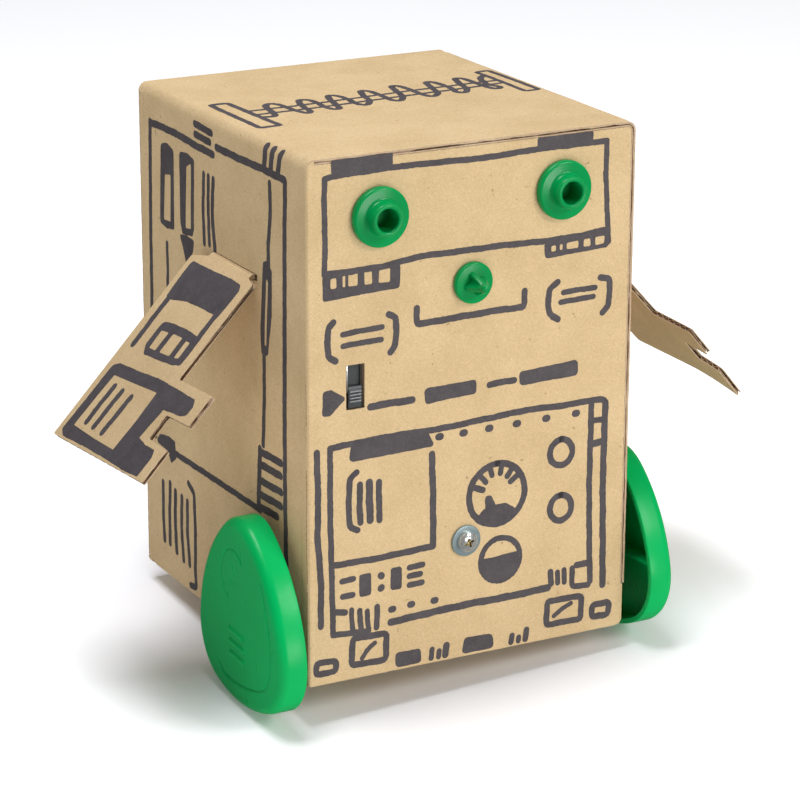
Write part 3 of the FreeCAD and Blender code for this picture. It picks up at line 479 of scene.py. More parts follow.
def fill(outline, holes=(), step=(4.0, 4.0), extra=None):
    """Triangles over a flat region: its points and its faces."""
    loops = [np.asarray(outline, float)] + [np.asarray(h, float) for h in holes]
    pts, edges = [], []
    for loop in loops:
        n = len(pts)
        pts += [tuple(p) for p in loop]
        edges += [(n + i, n + (i + 1) % len(loop)) for i in range(len(loop))]
    lo, hi = loops[0].min(0), loops[0].max(0)
    gx, gy = np.arange(lo[0] + step[0] / 2, hi[0], step[0]), np.arange(lo[1] + step[1] / 2, hi[1], step[1])
    grid = np.array([(x, y) for x in gx for y in gy]).reshape(-1, 2)
    if extra is not None and len(extra):
        grid = np.concatenate([grid, np.asarray(extra, float)])
    if len(grid):
        keep = inside(grid, loops[0])
        for h in loops[1:]:
            keep &= ~inside(grid, h)
        grid = grid[keep]
        near = np.minimum.reduce([distance(grid, loop) for loop in loops]) if len(grid) else np.zeros(0)
        grid = grid[near > 0.3 * min(step)]
        pts += [tuple(p) for p in grid]
    v, _, tris, *_ = geometry.delaunay_2d_cdt([Vector(p) for p in pts], edges, [], 0, 1e-7)
    v = np.array([tuple(p) for p in v])
    tris = np.array([tuple(t) for t in tris if len(t) == 3])
    c = v[tris].mean(1)
    keep = inside(c, loops[0])
    for h in loops[1:]:
        keep &= ~inside(c, h)
    tris = tris[keep]
    used = np.unique(tris)
    back = np.full(len(v), -1)
    back[used] = np.arange(len(used))
    return v[used], back[tris]


def rim_edges(tris):
    seen = {}
    for t in tris:
        for a, b in ((t[0], t[1]), (t[1], t[2]), (t[2], t[0])):
            seen[(int(a), int(b))] = True
    return [e for e in seen if (e[1], e[0]) not in seen]


def slab(build, v, tris, lo, hi, place, mats=(0, 0, 0)):
    """One closed sheet between the heights lo and hi (numbers or one per point): materials for its high face, low face and rim."""
    n = len(v)
    top = place(v[:, 0], v[:, 1], np.broadcast_to(np.asarray(hi, float), (n,)))
    low = place(v[:, 0], v[:, 1], np.broadcast_to(np.asarray(lo, float), (n,)))
    faces = [tuple(t) for t in tris] + [(t[2] + n, t[1] + n, t[0] + n) for t in tris]
    kinds = [mats[0]] * len(tris) + [mats[1]] * len(tris)
    for a, b in rim_edges(tris):
        faces.append((b, a, a + n, b + n))
        kinds.append(mats[2])
    co = np.concatenate([top, low])
    if volume(co - co.mean(0), faces) < 0:
        faces = [tuple(reversed(f)) for f in faces]
    build.shell(co, faces, kinds, np.concatenate([v, v]), turn=False)


def board_uv_turn(build, flute):
    """Board coordinates with the first one across the flutes."""
    if flute == "a":
        build.uv = [u[:, ::-1] for u in build.uv]


def corrugated(outline, holes, place, flute, name, body, slot="kraft_board", step=4.0, medium_step=8.0, ragged=0.05, medium_region=None, extra=None, phase=0.0):
    """A piece of corrugated board: two liners and the fluted sheet between them. flute is the direction that the flutes run along, a or b."""
    build = Build()
    loop = densify(outline, 1.2)
    ring = [densify(h, 1.2) for h in holes]
    v, tris = fill(loop, ring, (step, step), extra)
    edge = distance(v, loop) < 0.02
    v2 = v.copy()
    v2[edge] += ragged * np.stack([wave(v[edge, 1] * 1.9, 3.1), wave(v[edge, 0] * 1.7, 5.7)], 1)
    slab(build, v2, tris, BOARD - LINER, BOARD, place, (0, 3, 3))
    v3 = v.copy()
    v3[edge] += ragged * np.stack([wave(v[edge, 1] * 1.4, 9.3), wave(v[edge, 0] * 2.1, 1.2)], 1)
    slab(build, v3, tris, 0.0, LINER, place, (3, 1, 3))
    region = medium_region if medium_region is not None else [(outline, holes)]
    for out2, holes2 in region:
        fine = PITCH / 8.0
        loop = densify(out2, fine if len(out2) < 60 else 2.0)
        ring = [densify(h, 1.0) for h in holes2]
        st = (medium_step, fine) if flute == "a" else (fine, medium_step)
        v, tris = fill(loop, ring, st)
        inset = distance(v, densify(out2, 2.0)) < 0.03
        across = v[:, 1] if flute == "a" else v[:, 0]
        along = v[:, 0] if flute == "a" else v[:, 1]
        mid = LINER + 0.5 * (BOARD - 2 * LINER)
        amp = 0.5 * (BOARD - 2 * LINER) - 0.06
        h = mid + amp * np.sin(2 * math.pi * (across + 0.55 * wave(along * 0.09, 2.0 + phase)) / PITCH + phase)
        centre = v.mean(0)
        pull = (v - centre) / np.maximum(np.linalg.norm(v - centre, axis=1), 1e-6)[:, None]
        v4 = v.copy()
        v4[inset] -= pull[inset] * (0.16 + 0.10 * wave(v[inset].sum(1) * 1.3, 4.0))[:, None]
        slab(build, v4, tris, h - 0.09, h + 0.09, place, (2, 2, 2))
    board_uv_turn(build, flute)
    return build.make(name, body, [KRAFT, KRAFT_IN, MEDIUM, CUT_EDGE], slot, angle=50)


# ------------------------------------------------------------------ marker strokes
INK_LEVEL = [0]


def stroke(build, pts, width, place, closed=False, seed=0.0, cap=True, step=0.9):
    """A marker line: a thin ribbon with round ends and slightly uneven sides, lying on the board."""
    p = np.asarray(pts, float)
    if closed:
        p = np.concatenate([p, p[:1]])
    out = [p[0]]
    for a, b in zip(p[:-1], p[1:]):
        n = max(1, int(math.ceil(np.linalg.norm(b - a) / step)))
        out += [a + (b - a) * k / n for k in range(1, n + 1)]
    p = np.array(out)
    for _ in range(2):  # soften the bends a little
        if closed:
            body = (np.roll(p[:-1], 1, 0) + 2 * p[:-1] + np.roll(p[:-1], -1, 0)) / 4
            p = np.concatenate([body, body[:1]])
        else:
            p[1:-1] = (p[:-2] + 2 * p[1:-1] + p[2:]) / 4
    s = np.concatenate([[0], np.cumsum(np.linalg.norm(np.diff(p, axis=0), axis=1))])
    if closed:
        t = np.roll(p[:-1], -1, 0) - np.roll(p[:-1], 1, 0)
        t = np.concatenate([t, t[:1]])
    else:
        t = np.gradient(p, axis=0)
    t /= np.maximum(np.linalg.norm(t, axis=1), 1e-9)[:, None]
    n = np.stack([-t[:, 1], t[:, 0]], 1)
    fade = 1.0 if closed else np.clip(np.minimum(s, s[-1] - s) / 2.0, 0, 1)
    shift = 0.055 * width * wave(s * 0.55, seed) * fade
    half = width / 2 * (1 + 0.07 * wave(s * 0.9, seed + 3.3) * fade)
    rough_a, rough_b = 0.075 * wave(s * 3.1, seed + 8.1), 0.075 * wave(s * 2.7, seed + 6.4)
    left = p + n * (shift + half + rough_a * fade)[:, None]
    right = p + n * (shift - half + rough_b * fade)[:, None]
    if closed:
        left, right = left[:-1], right[:-1]
        k = len(left)
        outline_pts = np.concatenate([left, right])
        quads = [(i, (i + 1) % k, (i + 1) % k + k, i + k) for i in range(k)]
    else:
        caps_a, caps_b = [], []
        if cap:
            for j in range(1, 6):
                a = math.pi * j / 6
                caps_b.append(p[-1] + n[-1] * math.cos(a) * half[-1] + t[-1] * math.sin(a) * half[-1])
                caps_a.append(p[0] - n[0] * math.cos(a) * half[0] - t[0] * math.sin(a) * half[0])
        k = len(left)
        outline_pts = np.concatenate([left, right] + ([np.array(caps_b), np.array(caps_a)] if cap else []))
        quads = [(i, i + 1, i + 1 + k, i + k) for i in range(k - 1)]
        if cap:
            b0 = 2 * k
            quads.append((k - 1, *range(b0, b0 + 5), 2 * k - 1)[::1])
            quads.append((k, *range(b0 + 5, b0 + 10), 0))
    sheet(build, outline_pts, quads, place)


def sheet(build, v, faces, place):
    """A closed film of ink over the board from flat faces."""
    INK_LEVEL[0] = (INK_LEVEL[0] + 1) % 9
    hi = BOARD + 0.016 + 0.003 * INK_LEVEL[0]
    n = len(v)
    tri = []
    for f in faces:
        area = sum(v[f[i]][0] * v[f[(i + 1) % len(f)]][1] - v[f[(i + 1) % len(f)]][0] * v[f[i]][1] for i in range(len(f)))
        tri.append(tuple(f) if area > 0 else tuple(reversed(f)))
    seen = set()
    for f in tri:
        for i in range(len(f)):
            seen.add((f[i], f[(i + 1) % len(f)]))
    rim = [e for e in seen if (e[1], e[0]) not in seen]
    rim.sort()
    top = place(v[:, 0], v[:, 1], np.full(n, hi))
    low = place(v[:, 0], v[:, 1], np.full(n, BOARD - 0.03))
    all_faces = tri + [tuple(i + n for i in reversed(f)) for f in tri] + [(b, a, a + n, b + n) for a, b in rim]
    co = np.concatenate([top, low])
    if volume(co - co.mean(0), all_faces) < 0:
        all_faces = [tuple(reversed(f)) for f in all_faces]
    build.shell(co, all_faces, 0, np.concatenate([v, v]), turn=False)


def patch(build, outline, place, seed=0.0, radius=0.8, holes=()):
    """A filled marker area with soft corners and slightly uneven sides."""
    pts = [(*p[:2], p[2] if len(p) > 2 else radius) for p in outline]
    loop = densify(round_corners(pts, 4), 1.0)
    s = np.arange(len(loop)) * 1.0
    c = loop.mean(0)
    d = loop - c
    d /= np.maximum(np.linalg.norm(d, axis=1), 1e-9)[:, None]
    side = np.roll(loop, -1, 0) - np.roll(loop, 1, 0)
    side /= np.maximum(np.linalg.norm(side, axis=1), 1e-9)[:, None]
    out = np.stack([side[:, 1], -side[:, 0]], 1)
    turned = float(np.sum(loop[:, 0] * np.roll(loop[:, 1], -1) - np.roll(loop[:, 0], -1) * loop[:, 1]))
    loop = loop + out * (math.copysign(1.0, turned) * (0.16 + 0.09 * wave(s * 0.8, seed) + 0.05 * wave(s * 2.9, seed + 2)))[:, None]
    ring = []
    for h in holes:
        pts = [(*p[:2], p[2] if len(p) > 2 else 0.5) for p in h]
        ring.append(densify(round_corners(pts, 3), 1.0))
    v, tris = fill(loop, ring, (3.2, 3.2))
    sheet(build, v, [tuple(int(i) for i in t) for t in tris], place)


def arc_points(cx, cy, r, a0, a1, n=24, squash=1.0):
    return [(cx + r * math.cos(math.radians(a0 + (a1 - a0) * k / n)), cy + squash * r * math.sin(math.radians(a0 + (a1 - a0) * k / n))) for k in range(n + 1)]


# ------------------------------------------------------------------ carton: where the unrolled board lies
SIDE = CARTON_H - 2 * FOLD_R
ARC = math.pi / 2 * FOLD_R
TOPW = CARTON_W - 2 * FOLD_R
T_TL, T_TOP, T_TR, T_RIGHT = SIDE, SIDE + ARC, SIDE + ARC + TOPW, SIDE + 2 * ARC + TOPW
T_BR, T_BOT, T_BL = T_RIGHT + SIDE, T_RIGHT + SIDE + ARC, T_RIGHT + SIDE + ARC + TOPW
T_END = T_BL + ARC


def sleeve_place(t, y, h):
    """Unrolled sleeve (t round the loop from the lower left, y from the face) with height h in the board to the carton frame."""
    t, y, h = (np.asarray(a, float) for a in (t, y, h))
    x, z, nx, nz = (np.zeros_like(t) for _ in range(4))
    deep = BOARD - h
    m = t <= T_TL
    x[m], z[m], nx[m], nz[m] = -HW, FOLD_R + t[m], -1, 0
    m = (t > T_TOP) & (t <= T_TR)
    x[m], z[m], nx[m], nz[m] = -HW + FOLD_R + t[m] - T_TOP, CARTON_H, 0, 1
    m = (t > T_RIGHT) & (t <= T_BR)
    x[m], z[m], nx[m], nz[m] = HW, CARTON_H - FOLD_R - (t[m] - T_RIGHT), 1, 0
    m = (t > T_BOT) & (t <= T_BL)
    x[m], z[m], nx[m], nz[m] = HW - FOLD_R - (t[m] - T_BOT), 0, 0, -1
    for t0, t1, cx, cz, a0 in ((T_TL, T_TOP, -HW + FOLD_R, CARTON_H - FOLD_R, math.pi), (T_TR, T_RIGHT, HW - FOLD_R, CARTON_H - FOLD_R, math.pi / 2),
                               (T_BR, T_BOT, HW - FOLD_R, FOLD_R, 0.0), (T_BL, T_END + 1, -HW + FOLD_R, FOLD_R, -math.pi / 2)):
        m = (t > t0) & (t <= t1)
        a = a0 - (t[m] - t0) / FOLD_R
        nx[m], nz[m] = np.cos(a), np.sin(a)
        x[m], z[m] = cx + FOLD_R * nx[m], cz + FOLD_R * nz[m]
    # walls bow a little, as boxes do
    bow = np.zeros_like(t)
    for t0, L, amount in ((0.0, SIDE, 0.45), (T_TOP, TOPW, -0.35), (T_RIGHT, SIDE, 0.4)):
        m = (t > t0) & (t < t0 + L)
        bow[m] = amount * np.sin(np.pi * (t[m] - t0) / L) * np.sin(np.pi * np.clip(y[m] / CARTON_D, 0, 1))
    bow += 0.05 * wave(t * 0.11 + y * 0.05, 1.0) * np.clip(np.minimum(y, CARTON_D - y) / 12.0, 0, 1)
    return np.stack([x + nx * (bow - deep), y, z + nz * (bow - deep)], 1)


def front_place(x, z, h):
    x, z, h = (np.asarray(a, float) for a in (x, z, h))
    return np.stack([x, BOARD - h, z], 1)


def circle(cx, cy, r, n=28):
    return np.array([(cx + r * math.cos(2 * math.pi * k / n), cy + r * math.sin(2 * math.pi * k / n)) for k in range(n)])


def rect(x0, x1, y0, y1):
    return np.array([(x0, y0), (x1, y0), (x1, y1), (x0, y1)])


cut = BOARD + 0.1
right_lap = T_RIGHT + (CARTON_H - FOLD_R - (LAP_H + 0.1))
tab_a, tab_b = T_RIGHT + (CARTON_H - FOLD_R - 91.1), T_RIGHT + (CARTON_H - FOLD_R - 73.9)
sleeve_outline = np.array([
    (0.0, cut), (T_TL, cut), (T_TL, 0.0), (right_lap, 0.0), (right_lap, cut), (T_END, cut),
    (T_END, CARTON_D), (tab_b, CARTON_D), (tab_b, CARTON_D - cut), (tab_a, CARTON_D - cut), (tab_a, CARTON_D), (T_TL, CARTON_D), (T_TL, CARTON_D - cut), (0.0, CARTON_D - cut),
])
slot_l = rect(ARM_Z - FOLD_R - SLOT_H / 2, ARM_Z - FOLD_R + SLOT_H / 2, ARM_ROOT_Y[0] - 1.8, ARM_ROOT_Y[1] + 0.6)
tr = T_RIGHT + (CARTON_H - FOLD_R - ARM_Z)
slot_r = rect(tr - SLOT_H / 2, tr + SLOT_H / 2, ARM_ROOT_Y[0] - 1.8, ARM_ROOT_Y[1] + 0.6)
axle_l = circle(AXLE_Z - FOLD_R, AXLE_Y, 5.0)
axle_r = circle(T_RIGHT + CARTON_H - FOLD_R - AXLE_Z, AXLE_Y, 5.0)
fold_points = np.array([(t0 + ARC * k / 8, y) for t0 in (T_TL, T_TR, T_BR, T_BL) for k in range(9) for y in np.arange(3.0, CARTON_D - 2, 4.0)])
band = 6.0
medium_bands = [
    (rect(0.0, T_TL, cut, cut + band), []), (rect(T_TL, right_lap, 0.0, band), []), (rect(right_lap, T_END, cut, cut + band), []),
    (rect(0.0, T_TL, CARTON_D - cut - band, CARTON_D - cut), []), (rect(T_TL, tab_a, CARTON_D - band, CARTON_D), []), (rect(tab_b, T_END, CARTON_D - band, CARTON_D), []),
    (rect(tab_a, tab_b, CARTON_D - cut - band, CARTON_D - cut), []),
]
# along the folds the loop is curved, so the sheet's rows are close together there
sleeve = Build()
loop = densify(sleeve_outline, 0.8)
rings = [densify(h, 1.2) for h in (slot_l, slot_r, axle_l, axle_r)]
v, tris = fill(loop, rings, (4.0, 4.0), fold_points)
edge = distance(v, loop) < 0.02
v2 = v.copy()
front_edge = edge & (v[:, 1] < CARTON_D / 2)
v2[edge, 1] += 0.06 * wave(v[edge, 0] * 1.1, 3.1) + 0.03 * wave(v[edge, 0] * 3.7, 1.1)
v2[front_edge, 1] += 0.10
crush = np.clip(0.72 + 0.30 * wave(v[:, 0] * 0.13, 6.0) + 0.22 * wave(v[:, 0] * 0.55, 2.0), 0.25, 0.98)
crush *= np.clip(1 - np.minimum(np.abs(v[:, 1]), np.abs(v[:, 1] - cut)) / 1.0, 0, 1)
slab(sleeve, v2, tris, BOARD - LINER - 0.62 * crush, BOARD - 0.12 * crush, sleeve_place, (0, 3, 3))
v3 = v.copy()
v3[edge, 1] += 0.08 * wave(v[edge, 0] * 0.9, 7.1) + 0.05 * wave(v[edge, 0] * 3.1, 4.1)
v3[front_edge, 1] += 0.08
slab(sleeve, v3, tris, 0.0, LINER + 0.25 * crush, sleeve_place, (3, 1, 3))
for k, (region, _) in enumerate(medium_bands):
    t0, y0 = region.min(0)
    t1, y1 = region.max(0)
    nt_, ny_ = max(2, int((t1 - t0) / 1.2)), int(round((y1 - y0) / 0.3))
    tt, yy = np.linspace(t0 + 0.05, t1 - 0.05, nt_ + 1), np.linspace(y0 + 0.12, y1, ny_ + 1)
    if y0 > CARTON_D / 2:
        yy = np.linspace(y0, y1 - 0.12, ny_ + 1)
    gt, gy = np.meshgrid(tt, yy, indexing="ij")
    vv = np.stack([gt.ravel(), gy.ravel()], 1)
    q = []
    for i in range(nt_):
        for j in range(ny_):
            a = i * (ny_ + 1) + j
            q.append((a, a + ny_ + 1, a + ny_ + 2, a + 1))
    start = vv[:, 1] - y0
    drift = 1.1 * wave(vv[:, 0] * 0.035, 2.0 + k) + 0.45 * wave(vv[:, 0] * 0.21, 5.0 + k)
    mid, amp = BOARD / 2, 0.5 * (BOARD - 2 * LINER) - 0.06
    h = mid + amp * np.sin(2 * math.pi * (start + drift) / PITCH)
    tq = []
    for a, b, c, d in q:
        tq += [(a, b, c), (a, c, d)]
    slab(sleeve, vv, np.array(tq), h - 0.09, h + 0.09, sleeve_place, (2, 2, 2))
board_uv_turn(sleeve, "a")
carton = sleeve.make("carton_board", "carton", [KRAFT, KRAFT_IN, MEDIUM, CUT_EDGE], "kraft_board", angle=50)
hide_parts("carton_sleeve")

# ------------------------------------------------------------------ face board
inside_x = HW - BOARD
fx0, fx1 = -HW, inside_x - 0.1
ftop = CARTON_H - BOARD - 0.1
face_outline = round_corners([
    (fx0 + 0.6, 0.0, 0.3), (HW - 0.8, 0, 2.2), (HW - 0.8, LAP_H, 1.2), (fx1, LAP_H, 0.0),
    (fx1, ftop, 1.39), (-fx1, ftop, 1.39), (-fx1, CARTON_H - FOLD_R - 0.1, 0.0), (fx0 + 0.6, CARTON_H - FOLD_R - 0.1, 0.3),
])
sxc, sz0, sz1 = -40.2, 87.0, 101.0
face_holes = [circle(*EYE_L, 5.0), circle(*EYE_R, 5.0), circle(*NOSE, 2.7, 20), circle(*SCREW, 1.9, 20), round_corners([(sxc - 3.1, sz0, 0.3), (sxc + 3.1, sz0, 0.3), (sxc + 3.1, sz1, 0.3), (sxc - 3.1, sz1, 0.3)], 2)]
face = corrugated(face_outline, face_holes, front_place, "b", "face_board", "carton", phase=0.7, ragged=0.06)
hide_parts("front_panel")

# the liner runs unbroken round the left front corner
wrap = Build()
prof = [(2.2, -0.012)]
for k in range(9):
    a = math.pi / 2 * k / 8
    prof.append((1.0 - 1.03 * math.sin(a), 1.0 - 1.012 * math.cos(a)))
prof += [(-0.03, 2.6), (-0.05, 4.2)]
n = len(prof)
prof = prof + [(d + 0.12, y + 0.12) for d, y in reversed(prof)]
stations = [("wall", z) for z in np.linspace(0.25, CARTON_H - FOLD_R, 90)] + [("arc", math.radians(180 - 84 * k / 12)) for k in range(1, 13)]
co, fa = [], []
for kind, q in stations:
    for i, (d, y) in enumerate(prof):
        if kind == "wall":
            bowed = 0.45 * math.sin(math.pi * max(q - FOLD_R, 0) / SIDE) * math.sin(math.pi * max(y, 0) / CARTON_D)
            co.append((-HW + d - bowed, y, q))
        else:
            co.append((-HW + FOLD_R + (FOLD_R - d) * math.cos(q), y, CARTON_H - FOLD_R + (FOLD_R - d) * math.sin(q)))
m = len(prof)
for i in range(len(stations) - 1):
    for j in range(m):
        fa.append((i * m + j, i * m + (j + 1) % m, (i + 1) * m + (j + 1) % m, (i + 1) * m + j))
for base, flip in ((0, False), ((len(stations) - 1) * m, True)):
    for j in range(n - 1):
        f = (base + j, base + m - 1 - j, base + m - 2 - j, base + j + 1)
        fa.append(f[::-1] if flip else f)
wrap.shell(co, fa, 0, [(c[0] * 1.0, c[2]) for c in co])
wrap_ob = wrap.make("corner_liner", "carton", [KRAFT], "kraft_board", angle=60)

# a thin dark line drawn along the left front corner, where the face is creased
line = Build()


def corner_place(s, z, h):
    """s runs round the left front corner: 0 at the corner's middle, negative on the side wall."""
    s, z, h = (np.asarray(a, float) for a in (s, z, h))
    a = math.pi / 4 - s / 1.03
    a = np.clip(a, -0.05, math.pi / 2 + 0.05)
    r = 1.03 + (h - BOARD) + 0.012
    return np.stack([-HW + 1.0 - r * np.sin(a), 1.0 - r * np.cos(a), z], 1)


for z0, z1, w in ((6.0, 31.0, 0.20), (33.5, 70.0, 0.17), (84.0, 97.0, 0.14)):
    stroke(line, [(-0.42 + 0.10 * math.sin(z * 0.23), z) for z in np.linspace(z0, z1, int((z1 - z0) / 2.0))], w, corner_place, seed=z0)
crease_ob = line.make("corner_dark_line", "carton", [CREASE], "kraft_board", angle=60)

# ------------------------------------------------------------------ marker drawing on the face (u from the left edge, z up)
art = Build()


def F(u, z, h):
    return front_place(np.asarray(u, float) - HW, z, h)


def line_f(pts, w=1.55, seed=0.0, closed=False):
    stroke(art, pts, 1.24 * w, F, closed=closed, seed=seed)


# eye frame and the blocks above it
line_f([(6.2, 158.9), (6.0, 150), (6.3, 140), (6.0, 130.2)], 1.5, 1)
line_f([(6.2, 158.8), (8.6, 159.4), (29, 159.9), (45, 159.6), (60, 159.2), (78, 159.9), (102.4, 159.8)], 1.55, 2)
line_f([(102.4, 159.6), (102.3, 150), (102.9, 140), (103.6, 130.6)], 1.5, 3)
line_f([(6.0, 130.0), (15, 129.9), (26, 130.1), (38, 131.6), (52, 131.4), (66, 131.4), (82, 130.8), (94, 131.0), (103.4, 131.9)], 1.6, 4)
patch(art, [(8.4, 164.0), (28.6, 164.1), (28.4, 159.6), (8.6, 158.5)], F, 1, 0.6)
patch(art, [(78.0, 165.0 - 1.8), (97.6, 163.2), (97.2, 160.4), (88, 160.3), (78.2, 159.6)], F, 2, 0.5)
# vents under the frame
patch(art, [(5.4, 129.6), (31.2, 130.2), (31.0, 122.9), (18, 122.5), (5.6, 121.8)], F, 3, 0.9,
      holes=[[(8.0, 128.4), (9.9, 128.6), (10.0, 125.4), (8.0, 125.3)], [(12.0, 128.8), (12.9, 128.9), (12.9, 125.3), (12.0, 125.4)],
             [(13.9, 129.0), (17.0, 129.2), (17.0, 125.3), (13.9, 125.4)], [(19.2, 129.1), (21.7, 129.2), (21.9, 125.2), (19.3, 125.2)],
             [(24.2, 129.2), (27.9, 129.3), (27.8, 125.0), (24.0, 125.2)]])
patch(art, [(81.0, 130.0), (104.4, 130.9), (104.6, 127.6), (103.0, 126.3), (90, 125.8), (81.4, 125.4)], F, 4, 0.9,
      holes=[[(83.4, 129.0), (85.0, 129.1), (85.1, 127.3), (83.4, 127.2)], [(86.4, 129.2), (87.4, 129.2), (87.4, 127.3), (86.4, 127.4)],
             [(88.8, 129.3), (93.0, 129.6), (93.0, 127.3), (88.9, 127.3)], [(95.0, 129.7), (97.2, 129.8), (97.4, 127.3), (94.8, 127.4)],
             [(99.0, 129.9), (102.4, 130.0), (102.2, 127.6), (99.1, 127.3)]])
# cheek marks
line_f([(8.9, 115.0), (7.2, 113.4), (6.9, 108), (7.2, 104.4), (9.6, 102.9)], 1.7, 5)
line_f([(27.4, 115.0), (29.9, 113.8), (29.9, 108), (29.5, 104.6), (28.0, 103.1)], 1.7, 6)
line_f([(12.0, 110.8), (18, 111.2), (25.2, 111.4)], 1.45, 7)
line_f([(12.1, 107.2), (18, 107.5), (24.9, 107.5)], 1.45, 8)
line_f([(85.9, 117.3), (83.0, 115.4), (82.5, 110), (83.2, 107.4), (86.2, 105.4)], 1.7, 9)
line_f([(101.2, 116.8), (104.6, 116.0), (104.5, 110), (104.4, 107.4), (102.2, 105.4)], 1.7, 10)
line_f([(88.0, 113.7), (94, 113.9), (99.4, 113.8)], 1.45, 11)
line_f([(87.1, 110.7), (93, 110.9), (98.8, 111.0)], 1.45, 12)
# mouth
line_f([(36.9, 115.6), (37.0, 110.5), (52, 110.9), (66, 111.2), (74.2, 111.0), (74.2, 116.0)], 1.75, 13)
# pointer at the switch, and the broken line beside it
patch(art, [(5.5, 94.0, 1.0), (8.2, 94.0, 1.2), (12.6, 91.0, 0.7), (12.4, 90.4, 0.4), (7.6, 86.2, 1.4), (5.2, 86.2, 0.9)], F, 5, 0.9)
line_f([(21.3, 86.9), (28, 87.1), (35.5, 87.0)], 1.9, 14)
patch(art, [(39.6, 89.8), (57.6, 90.1), (57.6, 85.8), (48, 85.6), (40.2, 84.9)], F, 6, 1.2)
line_f([(62.3, 87.8), (67, 88.1), (71.0, 88.0)], 1.7, 15)
patch(art, [(72.8, 90.3), (84, 90.8), (93.6, 91.3), (93.6, 86.4), (82, 86.3), (73.2, 86.0)], F, 7, 1.2)
# instrument panel
line_f([(3.2, 75.2), (3.6, 60), (3.3, 48), (4.4, 34), (4.3, 19.2)], 1.7, 16)
line_f([(7.7, 75.6), (7.6, 55), (8.0, 38), (8.5, 15.6)], 1.6, 17)
line_f([(7.7, 75.8), (13.5, 76.2), (30, 76.6), (45, 76.3), (60, 77.0), (76, 77.7), (90, 77.1), (98.4, 77.4), (103.6, 77.0), (104.1, 75.6)], 1.7, 18)
line_f([(104.1, 75.8), (103.8, 50), (104.3, 30), (104.6, 14.8)], 1.9, 19)
line_f([(99.0, 76.6), (98.8, 50), (99.3, 30), (99.9, 16.8)], 1.7, 20)
line_f([(99.4, 70.6), (103.4, 70.4)], 1.6, 21)
line_f([(99.4, 62.8), (103.4, 63.2)], 1.9, 22)
patch(art, [(15.0, 75.9, 0.5), (40.6, 76.4, 0.5), (43.2, 71.2, 0.8), (28, 70.9), (14.0, 70.6, 1.2)], F, 8, 0.8)
line_f([(42.4, 68.6), (42.9, 55), (43.0, 39.0)], 1.8, 23)
line_f([(8.6, 38.3), (24, 38.0), (43.0, 38.6)], 1.75, 24)
line_f([(16.6, 66.9), (14.2, 65.2), (13.9, 58), (14.1, 49.8), (16.9, 48.3)], 1.65, 25)
line_f([(17.7, 62.8), (17.6, 56), (17.9, 50.6)], 1.7, 26)
line_f([(20.9, 63.0), (21.0, 56), (21.2, 50.8)], 2.0, 27)
line_f([(24.2, 62.6), (24.2, 56), (24.4, 50.3)], 1.7, 28)
for k, (u, z) in enumerate(((45.0, 73.8), (53.4, 73.7), (62.4, 73.8), (72.2, 73.8), (82.7, 73.9), (93.4, 73.9))):
    line_f([(u - 0.35, z), (u + 0.35, z)], 1.9, 29 + k)
# dial: ring, ticks, needle and a filled hub
line_f(arc_points(65.4, 52.0, 9.9, 90, 449, 48), 1.75, 40, closed=False)
for a, r0, r1, w in ((158, 5.4, 9.0, 1.7), (132, 5.9, 9.2, 1.5), (106, 6.6, 9.2, 1.5), (80, 6.6, 9.2, 1.5), (55, 6.3, 9.2, 1.6), (34, 5.8, 9.0, 1.6)):
    c, s = math.cos(math.radians(a)), math.sin(math.radians(a))
    line_f([(65.4 + r0 * c, 52 + r0 * s), (65.4 + r1 * c, 52 + r1 * s)], w, 41 + a * 0.1)
patch(art, [(58.6, 45.4, 1.2), (61.0, 47.6, 0.6), (63.8, 48.3, 1.0), (68.6, 48.4, 1.0), (72.0, 46.0, 0.8), (70.4, 43.0, 1.4), (65.4, 41.8, 2.0), (60.6, 42.8, 1.4)], F, 9, 0.8)
patch(art, [(61.2, 51.8, 0.9), (63.4, 51.6, 0.9), (65.4, 47.2, 0.3), (61.6, 46.9, 0.3)], F, 10, 0.6)
# half-full round window
line_f(arc_points(66.9, 30.2, 7.0, 0, 180, 24), 1.55, 50)
patch(art, [(*p, 0.3) for p in arc_points(66.9, 30.0, 7.8, 180, 360, 20)] + [(73.6, 31.8, 0.3), (64, 31.0, 0.3), (60.0, 31.2, 0.3)], F, 11, 0.3)
# rings
for k, (z, r) in enumerate(((61.9, 4.1), (43.5, 4.0))):
    line_f(arc_points(88.3 + 0.2 * k, z, r, 90, 449, 32, 1.06), 1.75, 60 + k)
# a plain row of blocks and dashes where the drawing carries characters
line_f([(11.6, 32.6), (15.4, 32.8)], 1.6, 62)
line_f([(11.8, 27.6), (15.2, 27.6)], 1.6, 63)
patch(art, [(17.6, 33.6), (21.4, 33.6), (21.4, 26.6), (17.6, 26.6)], F, 12, 0.7)
line_f([(24.9, 32.2), (25.1, 32.0)], 1.9, 64)
line_f([(24.9, 28.0), (25.1, 28.2)], 1.9, 65)
patch(art, [(28.4, 33.8), (32.0, 33.8), (32.0, 26.8), (28.4, 26.8)], F, 13, 0.7)
line_f([(34.8, 33.0), (39.4, 33.2)], 1.6, 66)
line_f([(34.8, 30.2), (38.6, 30.3)], 1.6, 67)
line_f([(34.8, 27.3), (39.2, 27.4)], 1.6, 68)
